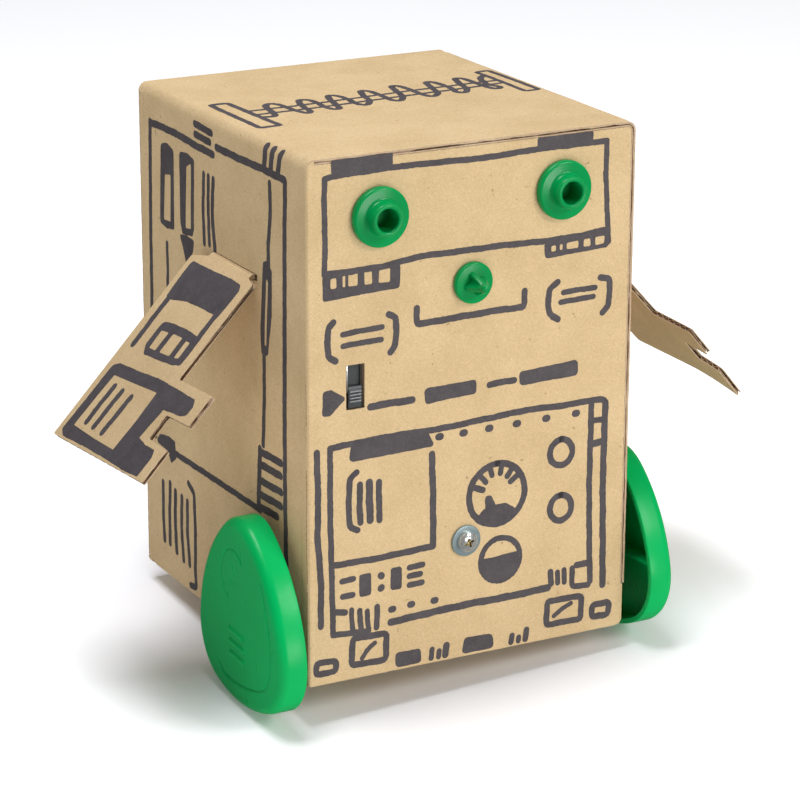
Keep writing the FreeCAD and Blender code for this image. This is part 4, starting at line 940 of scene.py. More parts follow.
# lower left and right corners of the panel
line_f([(9.3, 23.0), (12.6, 22.3)], 1.7, 70)
line_f([(8.5, 15.6), (15.0, 15.2), (20.6, 14.8)], 1.6, 71)
line_f([(14.8, 22.8), (15.0, 18), (15.4, 14.8)], 1.4, 72)
line_f([(17.6, 22.0), (17.8, 18), (18.2, 15.2)], 1.5, 73)
line_f([(20.2, 21.4), (20.3, 17), (20.8, 15.4)], 1.4, 74)
line_f([(23.6, 22.2), (23.6, 18), (23.4, 15.4)], 1.6, 75)
for k, (u, z) in enumerate(((28.8, 20.4), (35.4, 20.8), (43.6, 20.6))):
    line_f([(u - 0.3, z), (u + 0.4, z)], 1.8, 76 + k)
line_f([(28.4, 16.2), (42, 16.8), (56, 17.2), (70, 17.0), (84.4, 17.4)], 2.0, 80)
line_f([(94.8, 23.2), (98.6, 23.2)], 1.8, 81)
line_f([(93.2, 22.4), (93.2, 16.2), (99.2, 15.7)], 1.6, 82)
line_f([(85.2, 22.6), (85.6, 18.6)], 1.7, 83)
line_f([(87.8, 22.0), (88.0, 18.4)], 1.5, 84)
line_f([(90.2, 22.4), (90.4, 18.2)], 1.5, 85)
# boxes with a slash, small boxes and the marks along the bottom
for k, (box, slash) in enumerate((([(15.2, 13.2), (26.8, 12.9), (26.8, 4.2), (14.8, 4.4)], [(18.4, 6.2), (20.6, 9.0), (22.8, 10.4)]),
                                  ([(84.2, 12.8), (97.0, 12.4), (96.6, 4.6), (84.0, 4.8)], [(86.8, 7.4), (90.0, 9.4), (93.0, 10.6)]))):
    line_f(box, 1.75, 86 + k, closed=True)
    line_f(slash, 1.3, 88 + k)
line_f([(2.8, 7.4), (9.4, 7.2), (9.4, 3.7), (2.5, 3.6)], 1.7, 90, closed=True)
line_f([(100.9, 8.6), (107.2, 8.4), (106.8, 4.2), (100.8, 4.4)], 1.8, 91, closed=True)
patch(art, [(30.0, 5.6), (38.8, 5.4), (39.0, 0.9), (30.2, 0.9)], F, 14, 1.2)
line_f([(42.9, 4.4), (42.6, 1.5)], 1.5, 92)
line_f([(45.4, 3.4), (45.2, 1.5)], 1.5, 93)
line_f([(48.0, 4.8), (47.6, 1.7)], 1.9, 94)
patch(art, [(54.6, 6.0), (64.2, 5.6), (65.0, 0.9), (53.4, 0.9)], F, 15, 1.3)
line_f([(71.6, 3.6), (71.2, 1.4)], 1.6, 95)
line_f([(74.0, 2.6), (73.9, 1.4)], 1.5, 96)
line_f([(76.8, 4.6), (76.4, 1.5)], 1.7, 97)
ink_face = art.make("ink_face", "carton", [INK], "kraft_board", angle=60)

# ------------------------------------------------------------------ marker drawing on the left wall (u from the rear edge) and the top
art_l = Build()


def L(u, z, h):
    return sleeve_place(np.asarray(z, float) - FOLD_R, CARTON_D - np.asarray(u, float), h)


def line_l(pts, w=1.8, seed=0.0, closed=False, step=0.9):
    stroke(art_l, pts, 1.13 * w, L, closed=closed, seed=seed, step=step)


line_l([(8.8, 153.8), (8.4, 140), (7.8, 120), (7.6, 100), (7.2, 84), (8.0, 66), (8.2, 48)], 2.2, 101)
line_l([(8.8, 153.6), (20, 154.0), (32, 154.0), (42, 153.4), (56.6, 153.2)], 2.2, 102)
line_l([(43.2, 160.2), (55.4, 159.7)], 2.1, 103)
line_l([(43.4, 156.9), (54.2, 156.6)], 2.1, 104)
line_l([(59.0, 156.0), (75, 156.0), (90, 156.4), (106.4, 156.2)], 2.2, 105)
line_l([(106.6, 155.8), (106.0, 140), (105.8, 110), (105.2, 80), (105.2, 55), (105.4, 38), (106.4, 18), (107.0, 2.0)], 2.4, 106)
line_l([(93.4, 163.8), (92.6, 157.0)], 2.5, 107, step=0.25)
line_l([(98.2, 163.8), (97.0, 157.0)], 2.5, 108, step=0.25)
line_l([(103.6, 163.8), (101.8, 157.0)], 2.4, 109, step=0.25)
patch(art_l, [(17.2, 148.4, 1.6), (22, 149.4, 1.6), (26.8, 148.0, 1.4), (26.6, 122.4, 1.0), (21, 121.6, 1.0), (15.8, 122.4, 1.2), (16.2, 132, 0.6)], L, 16, 1.0,
      holes=[[(19.9, 138.9), (24.4, 139.8), (23.9, 124.3), (18.7, 123.9)]])
patch(art_l, [(31.4, 148.6, 1.4), (37, 149.4, 1.4), (42.4, 148.4, 1.2), (41.8, 126.0, 0.6), (40.6, 123.6, 0.6), (33.2, 122.6, 0.8), (31.8, 126, 0.6)], L, 17, 1.0,
      holes=[[(36.6, 145.0, 0.3), (40.2, 147.0, 0.6), (39.6, 125.6, 0.5), (35.6, 125.0, 0.5)]])
patch(art_l, [(31.0, 121.8, 0.6), (36, 122.6, 0.6), (41.8, 122.2, 0.8), (40.8, 118.6, 0.8), (37.2, 113.4, 0.5), (35.8, 113.0, 0.5), (33.4, 118.0, 0.8)], L, 18, 0.8)
line_l([(49.6, 145.6), (49.0, 134), (49.6, 123.4)], 1.9, 110)
line_l([(53.0, 145.6), (52.8, 134), (53.4, 124.0)], 1.9, 111)
line_l([(56.6, 145.4), (55.6, 134), (57.4, 123.0)], 2.1, 112)
line_l([(20.8, 116.4), (20.9, 108), (20.6, 101.4)], 1.8, 113)
line_l([(96.2, 153.0), (96.6, 144), (95.0, 134), (95.2, 126.6)], 2.0, 114)
patch(art_l, [(91.6, 127.6, 1.0), (93.6, 128.4, 0.8), (97.2, 126.2, 0.8), (97.0, 112, 0.5), (94.2, 99.0, 1.0), (90.0, 98.6, 1.0), (89.6, 106, 0.5), (90.6, 118, 0.5)], L, 19, 0.8,
      holes=[[(93.6, 123.4, 0.5), (94.8, 122.0, 0.4), (93.4, 101.8, 0.3), (92.2, 101.8, 0.3), (92.6, 112, 0.3)]])
line_l([(91.8, 98.6), (91.6, 84), (90.4, 69.4)], 2.0, 115)
# ladder of bars and the line below it
line_l([(88.2, 67.4), (87.4, 58), (86.8, 48.6)], 2.4, 116)
for k, (z, u1) in enumerate(((67.0, 102.6), (62.8, 102.4), (57.6, 102.6), (53.0, 102.4), (48.8, 99.6))):
    line_l([(88.6, z - 0.4), (u1, z + 0.2)], 2.3, 117 + k)
line_l([(24.0, 46.4), (44, 46.8), (66, 47.2), (88, 47.4)], 2.0, 123)
patch(art_l, [(8.6, 46.2, 0.8), (12.0, 49.4, 1.0), (18.8, 50.6, 0.8), (23.8, 50.4, 0.6), (24.6, 44.8, 1.0), (20.6, 42.2, 0.6), (17.8, 45.6, 0.6)], L, 20, 0.8)
line_l([(13.4, 33.2), (13.2, 22), (13.8, 13.0)], 2.0, 124)
line_l([(19.2, 34.6), (18.4, 24), (18.2, 13.2)], 2.0, 125)
line_l([(23.4, 33.0), (22.8, 22), (23.4, 12.0)], 2.2, 126)
line_l([(28.6, 32.8), (27.8, 22), (28.8, 10.8)], 2.0, 127)
line_l([(33.0, 32.6), (32.4, 22), (33.6, 10.8)], 2.0, 128)
line_l([(34.0, 39.2), (38.4, 37.0), (38.8, 24), (38.0, 10), (38.4, 4.6), (34.0, 3.8)], 2.0, 129)
ink_left = art_l.make("ink_left_wall", "carton", [INK], "kraft_board", angle=60)

art_t = Build()


def Tp(u, y, h):
    return sleeve_place(T_TOP + np.asarray(u, float) - FOLD_R, y, h)


def line_t(pts, w=1.7, seed=0.0, closed=False):
    stroke(art_t, pts, 1.25 * w, Tp, closed=closed, seed=seed)


line_t([(6.2, 78.8), (12.2, 79.0), (13.0, 60), (13.8, 44.6), (6.6, 43.6), (6.4, 60)], 1.8, 140, closed=True)
line_t([(103.6, 83.2), (108.2, 83.4), (108.5, 68), (108.6, 51.4), (103.5, 51.2), (103.8, 68)], 1.5, 141, closed=True)
line_t([(13.2, 66.0), (28, 66.4), (44, 67.4), (60, 69.0), (76, 69.6), (92, 69.4), (103.6, 69.2)], 1.4, 142)
line_t([(13.2, 60.6), (28, 61.0), (44, 62.0), (60, 63.6), (76, 64.2), (92, 64.4), (103.6, 65.2)], 1.4, 143)
coil = []
loops = [(14.0, 57.2, 0), (18.2, 56.6, 0)]
crest = [(23.0, 72.6), (34.6, 73.4), (45.4, 75.0), (57.4, 76.4), (69.4, 78.0), (81.8, 77.6), (92.4, 77.8), (101.8, 78.0)]
trough = [(28.2, 55.8), (38.6, 56.6), (49.6, 57.8), (61.8, 58.6), (74.4, 59.0), (85.4, 59.0), (97.4, 58.8)]
coil += [(14.2, 56.8), (18.0, 56.6)]
for k in range(8):
    cx, cy = crest[k]
    coil += [(cx - 3.2, 64.0), (cx - 2.0, 69.6), (cx + 0.2, cy), (cx + 2.6, cy - 1.6), (cx + 3.2, 67.0)] if k < 7 else [(cx - 4.0, 66.0), (cx - 1.8, 74.0), (cx + 1.6, 77.8)]
    if k < 7:
        tx, ty = trough[k]
        coil += [(tx - 1.4, 61.0), (tx + 0.2, ty), (tx + 2.2, ty + 1.6)]
# the coil's line, rounded through its points
ctrl = np.array(coil, float)
smooth = []
for i in range(len(ctrl) - 1):
    p0, p1, p2, p3 = ctrl[max(i - 1, 0)], ctrl[i], ctrl[i + 1], ctrl[min(i + 2, len(ctrl) - 1)]
    for k in range(4):
        t = k / 4
        smooth.append(0.5 * ((2 * p1) + (-p0 + p2) * t + (2 * p0 - 5 * p1 + 4 * p2 - p3) * t * t + (-p0 + 3 * p1 - 3 * p2 + p3) * t ** 3))
smooth.append(ctrl[-1])
line_t(smooth, 1.8, 144)
ink_top = art_t.make("ink_top", "carton", [INK], "kraft_board", angle=60)

# ------------------------------------------------------------------ arms
ARM = [
    (0.9, 63.4, 0.3), (3.2, 72.4, 0.8), (73.5, 72.6, 0.8), (69.7, 10.8, 0.6), (57.8, 10.8, 0.4), (57.8, 23.0, 0.3),
    (49.1, 23.0, 0.3), (48.2, 9.0, 0.5), (37.0, 9.0, 0.6), (38.2, 30.2, 0.4), (2.2, 30.0, 0.5), (0.9, 34.6, 0.3),
]
arm_outline = round_corners([(s, y, r) for s, y, r in reversed(ARM)], 3)


def arm_place(side):
    def place(s, y, h):
        s, y, h = (np.asarray(a, float) for a in (s, y, h))
        lift = h - BOARD / 2
        if side > 0:
            # this board hangs lower and further out along its front edge than along its rear one
            sag = -2.0 * np.clip((40 - y) / 28, 0, 1.05) ** 1.6 * np.clip((s - 14) / 58, 0, 1.04) ** 1.7
            s = s + 0.08 * (51 - y) * np.clip(s / 12, 0, 1) ** 2
        else:
            sag = 0.35 * np.sin(np.pi * np.clip(s / 74, 0, 1)) * np.sin(np.pi * np.clip((y - 9) / 63, 0, 1))
        lift = lift + sag
        x = ARM_AXIS_X + s * math.cos(ARM_ANGLE) + lift * math.sin(ARM_ANGLE)
        z = ARM_Z - s * math.sin(ARM_ANGLE) + lift * math.cos(ARM_ANGLE)
        return np.stack([side * x, y, z], 1)
    return place


for side, name in ((-1, "left_arm"), (1, "right_arm")):
    ob = corrugated(arm_outline, [], arm_place(side), "a", f"{name}_board", name, step=3.5, medium_step=5.0, ragged=0.07, phase=1.1 + side)
    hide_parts(name)

for side, name in ((-1, "left_arm"), (1, "right_arm")):
    a = Build()
    place = arm_place(side)

    def flat(y, s, h, place=place):
        return place(s, y, h)

    q = 180
    patch(a, [(69.4, 4.8, 1.4), (58, 4.6, 0.6), (42, 3.8, 0.6), (35.6, 4.2, 1.4), (34.2, 6.2, 1.0), (34.6, 15.9, 0.4), (45, 16.0, 0.6), (56, 16.6, 0.8), (65.4, 18.6, 0.5), (68.8, 18.4, 0.4), (69.6, 10, 0.8)], flat, q, 0.8)
    stroke(a, [(67.1, 17.0), (66.9, 27), (66.8, 36.4)], 2.9, flat, seed=q + 1)
    stroke(a, [(36.2, 14.8), (36.0, 24), (35.9, 33.6)], 2.7, flat, seed=q + 2)
    patch(a, [(59.9, 25.8, 1.6), (54, 24.8, 0.8), (45, 24.2, 0.8), (34.6, 24.4, 0.4), (34.5, 34.0, 1.4), (38.6, 35.6, 1.0), (48, 36.6, 0.8), (57.4, 37.4, 1.4), (60.1, 34.4, 1.6)], flat, q + 3, 0.8,
          holes=[[(57.4, 28.4), (52.8, 27.8), (52.8, 34.7), (57.0, 35.0)], [(50.0, 27.4), (43.8, 27.0), (43.6, 33.9), (50.0, 34.5)], [(40.9, 27.2), (38.3, 27.1), (38.1, 33.0), (40.6, 33.6)]])
    patch(a, [(69.0, 45.8, 1.8), (66, 44.0, 0.8), (52, 42.8, 0.8), (40, 41.4, 0.8), (26, 41.0, 0.8), (15.2, 40.8, 1.0), (13.6, 43.0, 1.2), (13.8, 45.8, 1.0), (16.2, 47.0, 0.8),
              (26.4, 48.2, 0.5), (28.0, 59.4, 0.5), (22, 60.2, 0.6), (16.4, 59.8, 0.8), (15.0, 62.0, 0.8), (15.1, 69.0, 0.5), (24, 69.9, 0.4), (36, 70.2, 0.6), (52, 71.0, 0.8), (66.6, 72.2, 0.8), (69.9, 70.6, 0.8), (69.3, 58, 0.6)],
          flat, q + 4, 0.8, holes=[[(64.1, 47.9, 0.3), (52, 46.8, 0.3), (35.7, 45.2, 0.3), (35.4, 56, 0.2), (36.2, 66.8, 0.3), (50, 67.4, 0.3), (65.4, 67.6, 0.3), (64.8, 56, 0.2)]])
    for k, u in enumerate((59.9, 54.0, 47.2)):
        stroke(a, [(u - 0.3, 50.9), (u + 0.1, 57), (u + 0.1 + 0.3 * k, 64.4)], 2.6, flat, seed=q + 5 + k)
    a.make(f"ink_{name}", name, [INK], "kraft_board", angle=60)

# folded tabs inside the carton, and the creases that carry on into the arms
for side, name in ((-1, "left_arm"), (1, "right_arm")):
    inx = HW - BOARD
    tab = round_corners([
        (ARM_AXIS_X - 0.2, ARM_ROOT_Y[0], 0.0), (ARM_AXIS_X - 0.2, ARM_ROOT_Y[1], 0.0), (inx - 2, ARM_ROOT_Y[1], 0.0),
        (inx - TAB_LEN, ARM_ROOT_Y[1] - 5, 3.0), (inx - TAB_LEN, ARM_ROOT_Y[0] + 5, 3.0), (inx - 2, ARM_ROOT_Y[0], 0.0),
    ], 4)

    def tab_place(x, y, h, side=side):
        x, y, h = (np.asarray(a, float) for a in (x, y, h))
        return np.stack([side * x, y, ARM_Z - BOARD / 2 + h], 1)

    ob = corrugated(tab, [], tab_place, "a", f"{name}_tab_board", "carton", step=4.0, medium_step=5.0, phase=0.4)
    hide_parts(f"{name}_tab")

    fold = Build()
    ys = np.linspace(ARM_ROOT_Y[0] + 0.05, ARM_ROOT_Y[1] - 0.05, 60)
    turns = 9
    ring_pts = []
    for k in range(turns + 1):
        f = k / turns
        a = ARM_ANGLE * f
        # a path that leaves the tab level and comes onto the arm, crushed a little at the crease
        px = ARM_AXIS_X + (-1.0 + 1.0 * min(1.0, 2 * f)) + (max(0.0, 2 * f - 1) * 1.6) * math.cos(ARM_ANGLE)
        pz = ARM_Z - (max(0.0, 2 * f - 1) * 1.6) * math.sin(ARM_ANGLE)
        half = BOARD / 2 * (1.0 - 0.22 * math.sin(math.pi * f)) + 0.015
        ring_pts.append(((px + half * math.sin(a), pz + half * math.cos(a)), (px - half * math.sin(a), pz - half * math.cos(a))))
    prof = [p[0] for p in ring_pts] + [p[1] for p in reversed(ring_pts)]
    m = len(prof)
    co = [(side * x, y, z) for y in ys for x, z in prof]
    fa = []
    for i in range(len(ys) - 1):
        for j in range(m):
            fa.append((i * m + j, i * m + (j + 1) % m, (i + 1) * m + (j + 1) % m, (i + 1) * m + j))
    for base in (0, (len(ys) - 1) * m):
        for j in range(turns):
            f = (base + j, base + j + 1, base + m - 2 - j, base + m - 1 - j)
            fa.append(f if base == 0 else f[::-1])
    fold.shell(co, fa, 0, [(c[1], c[0]) for c in co])
    ob = fold.make(f"{name}_crease", None, [KRAFT], "kraft_board", angle=60)
    start = world((side * (ARM_AXIS_X - 0.8), 51, ARM_Z))[0]
    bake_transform(ob)

# ------------------------------------------------------------------ back lid
ly0 = CARTON_D - BOARD
lid_outline = round_corners([
    (-HW + 0.1, FOLD_R + 0.1, 0.5), (-inside_x + 1.4, FOLD_R + 0.1, 0.0), (-inside_x + 1.4, BOARD + 0.1, 0.5), (inside_x - 0.1, BOARD + 0.1, 1.4),
    (inside_x - 0.1, 74.0, 0.0), (HW + 5.0, 74.0, 4.0), (HW + 5.0, 91.0, 4.0), (inside_x - 0.1, 91.0, 0.0),
    (inside_x - 0.1, ftop, 1.4), (-inside_x + 1.4, ftop, 0.5), (-inside_x + 1.4, CARTON_H - FOLD_R - 0.1, 0.0), (-HW + 0.1, CARTON_H - FOLD_R - 0.1, 0.5),
])


def lid_place(x, z, h):
    x, z, h = (np.asarray(a, float) for a in (x, z, h))
    return np.stack([x, ly0 + h, z], 1)


lid = corrugated(lid_outline, [], lid_place, "b", "back_lid_board", "back_lid", phase=0.3)
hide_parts("back_lid")
flap_outline = round_corners([(ly0 + 0.2, 20.0, 0.0), (ly0 + 0.2, 146.0, 0.0), (ly0 - 12.0, 140.0, 4.0), (ly0 - 12.0, 26.0, 4.0)], 5)


def flap_place(y, z, h):
    y, z, h = (np.asarray(a, float) for a in (y, z, h))
    return np.stack([51.4 + h, y, z], 1)


corrugated(flap_outline, [], flap_place, "b", "tuck_flap_board", "back_lid", phase=1.3)

# the lid's crease along the left rear edge
hinge = Build()
zs = np.linspace(FOLD_R + 0.3, CARTON_H - FOLD_R - 0.3, 70)
turns = 8
outer_p, inner_p = [], []
for k in range(turns + 1):
    a = math.pi / 2 * k / turns
    outer_p.append((-HW + 1.0 - 1.04 * math.cos(a), CARTON_D - 1.0 + 1.04 * math.sin(a)))
    inner_p.append((-HW + 1.0 - 0.86 * math.cos(a), CARTON_D - 1.0 + 0.86 * math.sin(a)))
outer_p = [(-HW - 0.04, CARTON_D - 4.0)] + outer_p + [(-HW + 3.0, CARTON_D + 0.04)]
inner_p = [(-HW + 0.14, CARTON_D - 4.0)] + inner_p + [(-HW + 3.0, CARTON_D - 0.14)]
prof = outer_p + inner_p[::-1]
m = len(prof)
co = [(x, y, z) for z in zs for x, y in prof]
fa = []
for i in range(len(zs) - 1):
    for j in range(m):
        fa.append((i * m + j, i * m + (j + 1) % m, (i + 1) * m + (j + 1) % m, (i + 1) * m + j))
for base in (0, (len(zs) - 1) * m):
    for j in range(len(outer_p) - 1):
        f = (base + j, base + j + 1, base + m - 2 - j, base + m - 1 - j)
        fa.append(f if base == 0 else f[::-1])
hinge.shell(co, fa, 0, [(c[0] - c[1], c[2]) for c in co])
ob = hinge.make("lid_crease", None, [KRAFT], "kraft_board", angle=60)
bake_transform(ob)


# ------------------------------------------------------------------ eyes and nose
def lathe(build, profile, cx, cz, n=72, mat=0):
    """Closed (radius, y) profile turned about the line along Y through (cx, cz)."""
    co, fa = [], []
    k = len(profile)
    for i in range(n):
        a = 2 * math.pi * i / n
        for r, y in profile:
            co.append((cx + r * math.cos(a), y, cz + r * math.sin(a)))
    for i in range(n):
        for j in range(k):
            a, b = i * k + j, i * k + (j + 1) % k
            c, d = ((i + 1) % n) * k + (j + 1) % k, ((i + 1) % n) * k + j
            fa.append((a, b, c, d))
    build.shell(co, fa, mat)


def rounded_profile(points, steps=5):
    return [tuple(p) for p in round_corners(points, steps)]


for name, at in (("left_eye", EYE_L), ("right_eye", EYE_R)):
    b = Build()
    prof = rounded_profile([
        (0.02, 1.0, 0.0), (3.45, 1.0, 0.3), (3.5, -6.2, 0.75), (5.0, -6.2, 0.75), (5.3, -2.55, 1.1),
        (9.25, -2.25, 0.95), (9.25, 0.0, 0.3), (4.9, 0.0, 0.0), (4.9, 3.75, 0.0), (5.25, 4.1, 0.0), (4.4, 5.6, 0.3), (0.02, 5.6, 0.0),
    ], 6)
    lathe(b, prof, *at)
    ob = b.make(f"{name}_grommet", "carton", [SHADED_GREEN], "green_plastic", angle=35)
    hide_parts(name)

b = Build()
lathe(b, rounded_profile([
    (0.02, -2.0, 0.0), (6.5, -1.8, 0.75), (6.5, 0.0, 0.3), (2.6, 0.0, 0.0), (2.6, 3.75, 0.0), (2.9, 4.05, 0.0), (2.0, 5.4, 0.2), (0.02, 5.4, 0.0),
], 6), *NOSE)
lathe(b, rounded_profile([(0.02, -1.8, 0.0), (1.75, -1.8, 0.0), (1.5, -8.1, 0.3), (1.2, -8.95, 0.4), (0.6, -9.2, 0.4), (0.02, -9.25, 0.0)], 4), *NOSE, n=40)


def fin(build, turn):
    """A tapered fin with rounded long edges, standing on the disc."""
    stations = [(-1.7, 3.9), (-2.6, 3.75), (-3.6, 3.4), (-5.0, 2.75), (-6.6, 1.95), (-8.0, 1.25), (-8.8, 0.85), (-9.0, 0.5)]
    co, fa = [], []
    sect = [(-1, -0.55), (-0.93, -0.95), (-0.8, -1.0), (0.8, -1.0), (0.93, -0.95), (1, -0.55), (1, 0.55), (0.93, 0.95), (0.8, 1.0), (-0.8, 1.0), (-0.93, 0.95), (-1, 0.55)]
    for y, w in stations:
        thick = 0.80 if y > -8.5 else 0.6
        for u, v_ in sect:
            p, q_ = u * w, v_ * thick
            co.append((NOSE[0] + p * math.cos(turn) - q_ * math.sin(turn), y, NOSE[1] + p * math.sin(turn) + q_ * math.cos(turn)))
    k = len(sect)
    for i in range(len(stations) - 1):
        for j in range(k):
            fa.append((i * k + j, i * k + (j + 1) % k, (i + 1) * k + (j + 1) % k, (i + 1) * k + j))
    fa.append(tuple(range(k))[::-1])
    fa.append(tuple((len(stations) - 1) * k + j for j in range(k)))
    build.shell(co, fa, 0)


for turn in (math.radians(20), math.radians(110)):
    fin(b, turn)
ob = b.make("nose_fastener", "carton", [SHADED_GREEN], "green_plastic", angle=38)
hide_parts("nose_rivet")


# ------------------------------------------------------------------ washer and screw
b = Build()
lathe(b, rounded_profile([(1.8, -0.8, 0.12), (5.0, -0.8, 0.22), (5.0, 0.0, 0.1), (1.8, 0.0, 0.0)], 4), *SCREW, n=80)
ob = b.make("washer_plate", "carton", [WASHER], "zinc_steel", angle=40)
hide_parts("fixing_washer")

hy = -0.8 - 2.2
b = Build()
# domed head with a sunk cross: rings of points whose height follows the cross
rings_n, seg = 26, 96
co, fa = [], []


def head_y(r):
    return hy + 1.3 * (1 - math.sqrt(max(0.0, 1 - (min(r, 3.1) / 3.25) ** 2)))


for i in range(rings_n + 1):
    r = 3.25 * i / rings_n
    for j in range(seg):
        a = 2 * math.pi * j / seg
        x, z = r * math.cos(a), r * math.sin(a)
        u, w = x * math.cos(0.35) + z * math.sin(0.35), -x * math.sin(0.35) + z * math.cos(0.35)
        au, aw = abs(u), abs(w)
        arm = max(min(1.0, (0.44 - min(au, aw)) / 0.14), 0.0) * max(min(1.0, (1.60 - max(au, aw)) / 0.28), 0.0)
        core = max(min(1.0, (0.80 - (au + aw) * 0.72) / 0.25), 0.0)
        depth = 1.15 * max(arm, core) * (1.0 - 0.25 * min(1.0, max(au, aw) / 1.9))
        co.append((SCREW[0] + x, head_y(r) + depth if i < rings_n else -1.55, SCREW[1] + z))
top_count = len(co)
for j in range(seg):
    a = 2 * math.pi * j / seg
    co.append((SCREW[0] + 3.25 * math.cos(a), -0.8, SCREW[1] + 3.25 * math.sin(a)))
for j in range(seg):
    a = 2 * math.pi * j / seg
    co.append((SCREW[0] + 1.5 * math.cos(a), -0.8, SCREW[1] + 1.5 * math.sin(a)))
for j in range(seg):
    a = 2 * math.pi * j / seg
    co.append((SCREW[0] + 1.5 * math.cos(a), 11.0, SCREW[1] + 1.5 * math.sin(a)))
co.append((SCREW[0], 13.5, SCREW[1]))
kinds = []
# the innermost ring is one point repeated, so it becomes one face
fa.append(tuple(range(seg, 2 * seg)))
kinds.append(1)
for i in range(1, rings_n):
    r = 3.25 * (i + 0.5) / rings_n
    for j in range(seg):
        a, b2 = i * seg + j, i * seg + (j + 1) % seg
        fa.append((a, b2, b2 + seg, a + seg))
        x, z = r * math.cos(2 * math.pi * (j + 0.5) / seg), r * math.sin(2 * math.pi * (j + 0.5) / seg)
        u, w = x * math.cos(0.35) + z * math.sin(0.35), -x * math.sin(0.35) + z * math.cos(0.35)
        kinds.append(1 if (min(abs(u), abs(w)) < 0.38 and max(abs(u), abs(w)) < 1.5) or abs(u) + abs(w) < 0.95 else 0)
for base in (rings_n * seg, top_count, top_count + seg):
    for j in range(seg):
        a, b2 = base + j, base + (j + 1) % seg
        fa.append((a, b2, b2 + seg, a + seg))
        kinds.append(0)
tip = top_count + 3 * seg
for j in range(seg):
    fa.append((top_count + 2 * seg + j, top_count + 2 * seg + (j + 1) % seg, tip))
    kinds.append(0)
co = np.array(co)
keep = np.arange(seg, len(co))
fa = [tuple(i - seg for i in f) for f in fa]
co = co[keep]
if volume(co - co.mean(0), fa) < 0:
    fa = [tuple(reversed(f)) for f in fa]
b.shell(co, fa, kinds, turn=False)
ob = b.make("screw_panhead", "carton", [SCREW_METAL, RECESS], "zinc_steel", angle=32)
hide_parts("fixing_screw")


# ------------------------------------------------------------------ feet
def foot_ring(grow, n_each=(36, 26, 30, 26, 30, 26)):
    """Outline of the foot in its own (u, v) plane, offset outward by grow."""
    h, ra, bb, rb, rf, rs = 24.9, 15.3, 11.1, 19.0, 50.0, 51.0
    A, B1, B2 = (0.0, h), (bb, 0.0), (-bb, 0.0)

    def big(P, rp, Q, rq, Rr):
        d1, d2 = Rr - rp, Rr - rq
        dx, dy = Q[0] - P[0], Q[1] - P[1]
        D = math.hypot(dx, dy)
        a = (d1 * d1 - d2 * d2 + D * D) / (2 * D)
        hh = math.sqrt(d1 * d1 - a * a)
        ux, uy = dx / D, dy / D
        return (P[0] + a * ux - hh * uy, P[1] + a * uy + hh * ux)

    cF, cB = big(B1, rb, A, ra, rf), big(B2, rb, B1, rb, rs)
    cG = (-cF[0], cF[1])
    a1, a2, a3 = (math.atan2(P[1] - c[1], P[0] - c[0]) for P, c in ((B1, cB), (B1, cF), (A, cF)))
    arcs = [(cB, rs, -math.pi - a1, a1), (B1, rb, a1, a2), (cF, rf, a2, a3), (A, ra, a3, math.pi - a3), (cG, rf, math.pi - a3, math.pi - a2), (B2, rb, math.pi - a2, math.pi - a1)]
    out = []
    for (c, r, s, e), k in zip(arcs, n_each):
        for i in range(k):
            t = s + (e - s) * i / k
            out.append((c[0] + (r + grow) * math.cos(t), c[1] + (r + grow) * math.sin(t)))
    return np.array(out)


GROOVE = [(-15.2, 31.5), (-17.2, 27.0), (-19.0, 20.0), (-21.4, 12.0), (-22.8, 4.0), (-21.6, -4.0), (-17.6, -9.4), (-11.0, -12.0), (-2.0, -13.4), (7.0, -13.6), (12.2, -12.2), (14.6, -9.8)]


def smooth_path(ctrl, per=8):
    ctrl = np.array(ctrl, float)
    out = []
    for i in range(len(ctrl) - 1):
        p0, p1, p2, p3 = ctrl[max(i - 1, 0)], ctrl[i], ctrl[i + 1], ctrl[min(i + 2, len(ctrl) - 1)]
        for k in range(per):
            t = k / per
            out.append(0.5 * ((2 * p1) + (-p0 + p2) * t + (2 * p0 - 5 * p1 + 4 * p2 - p3) * t * t + (-p0 + 3 * p1 - 3 * p2 + p3) * t ** 3))
    out.append(ctrl[-1])
    return np.array(out)


def path_distance(p, path):
    best = np.full(len(p), 1e9)
    for a, b_ in zip(path[:-1], path[1:]):
        d = b_ - a
        t = np.clip(((p - a) @ d) / max(float(d @ d), 1e-9), 0, 1)
        best = np.minimum(best, np.linalg.norm(p - (a + t[:, None] * d), axis=1))
    return best


GROOVE_PATH = smooth_path(GROOVE)
# a plain open arc and a short bar: a moulder's mark with no meaning
MARK_ARC = smooth_path([(2.0 + 8.2 * math.cos(math.radians(a)), 21.5 + 8.6 * math.sin(math.radians(a))) for a in range(140, -61, -20)], 5)
MARK_BAR = np.array([(-1.6, 19.8), (4.4, 19.4)])


def face_relief(p):
    """How far the foot's outer face stands out (positive) at points p of its plane."""
    h = -0.50 * np.exp(-(path_distance(p, GROOVE_PATH) / 0.40) ** 2)
    h -= 0.36 * np.exp(-(path_distance(p, MARK_ARC) / 0.34) ** 2)
    h -= 0.20 * np.exp(-(path_distance(p, MARK_BAR) / 0.34) ** 2)
    for k in range(3):
        cu, cv = 1.2, 3.0 - 3.9 * k
        du, dv = p[:, 0] - cu, p[:, 1] - cv - 0.10 * (p[:, 0] - cu)
        q = np.clip((5.6 - np.abs(du)) / 0.6, 0, 1) * np.clip((1.05 - np.abs(dv)) / 0.75, 0, 1)
        h += 0.62 * q * q * (3 - 2 * q)
    return h


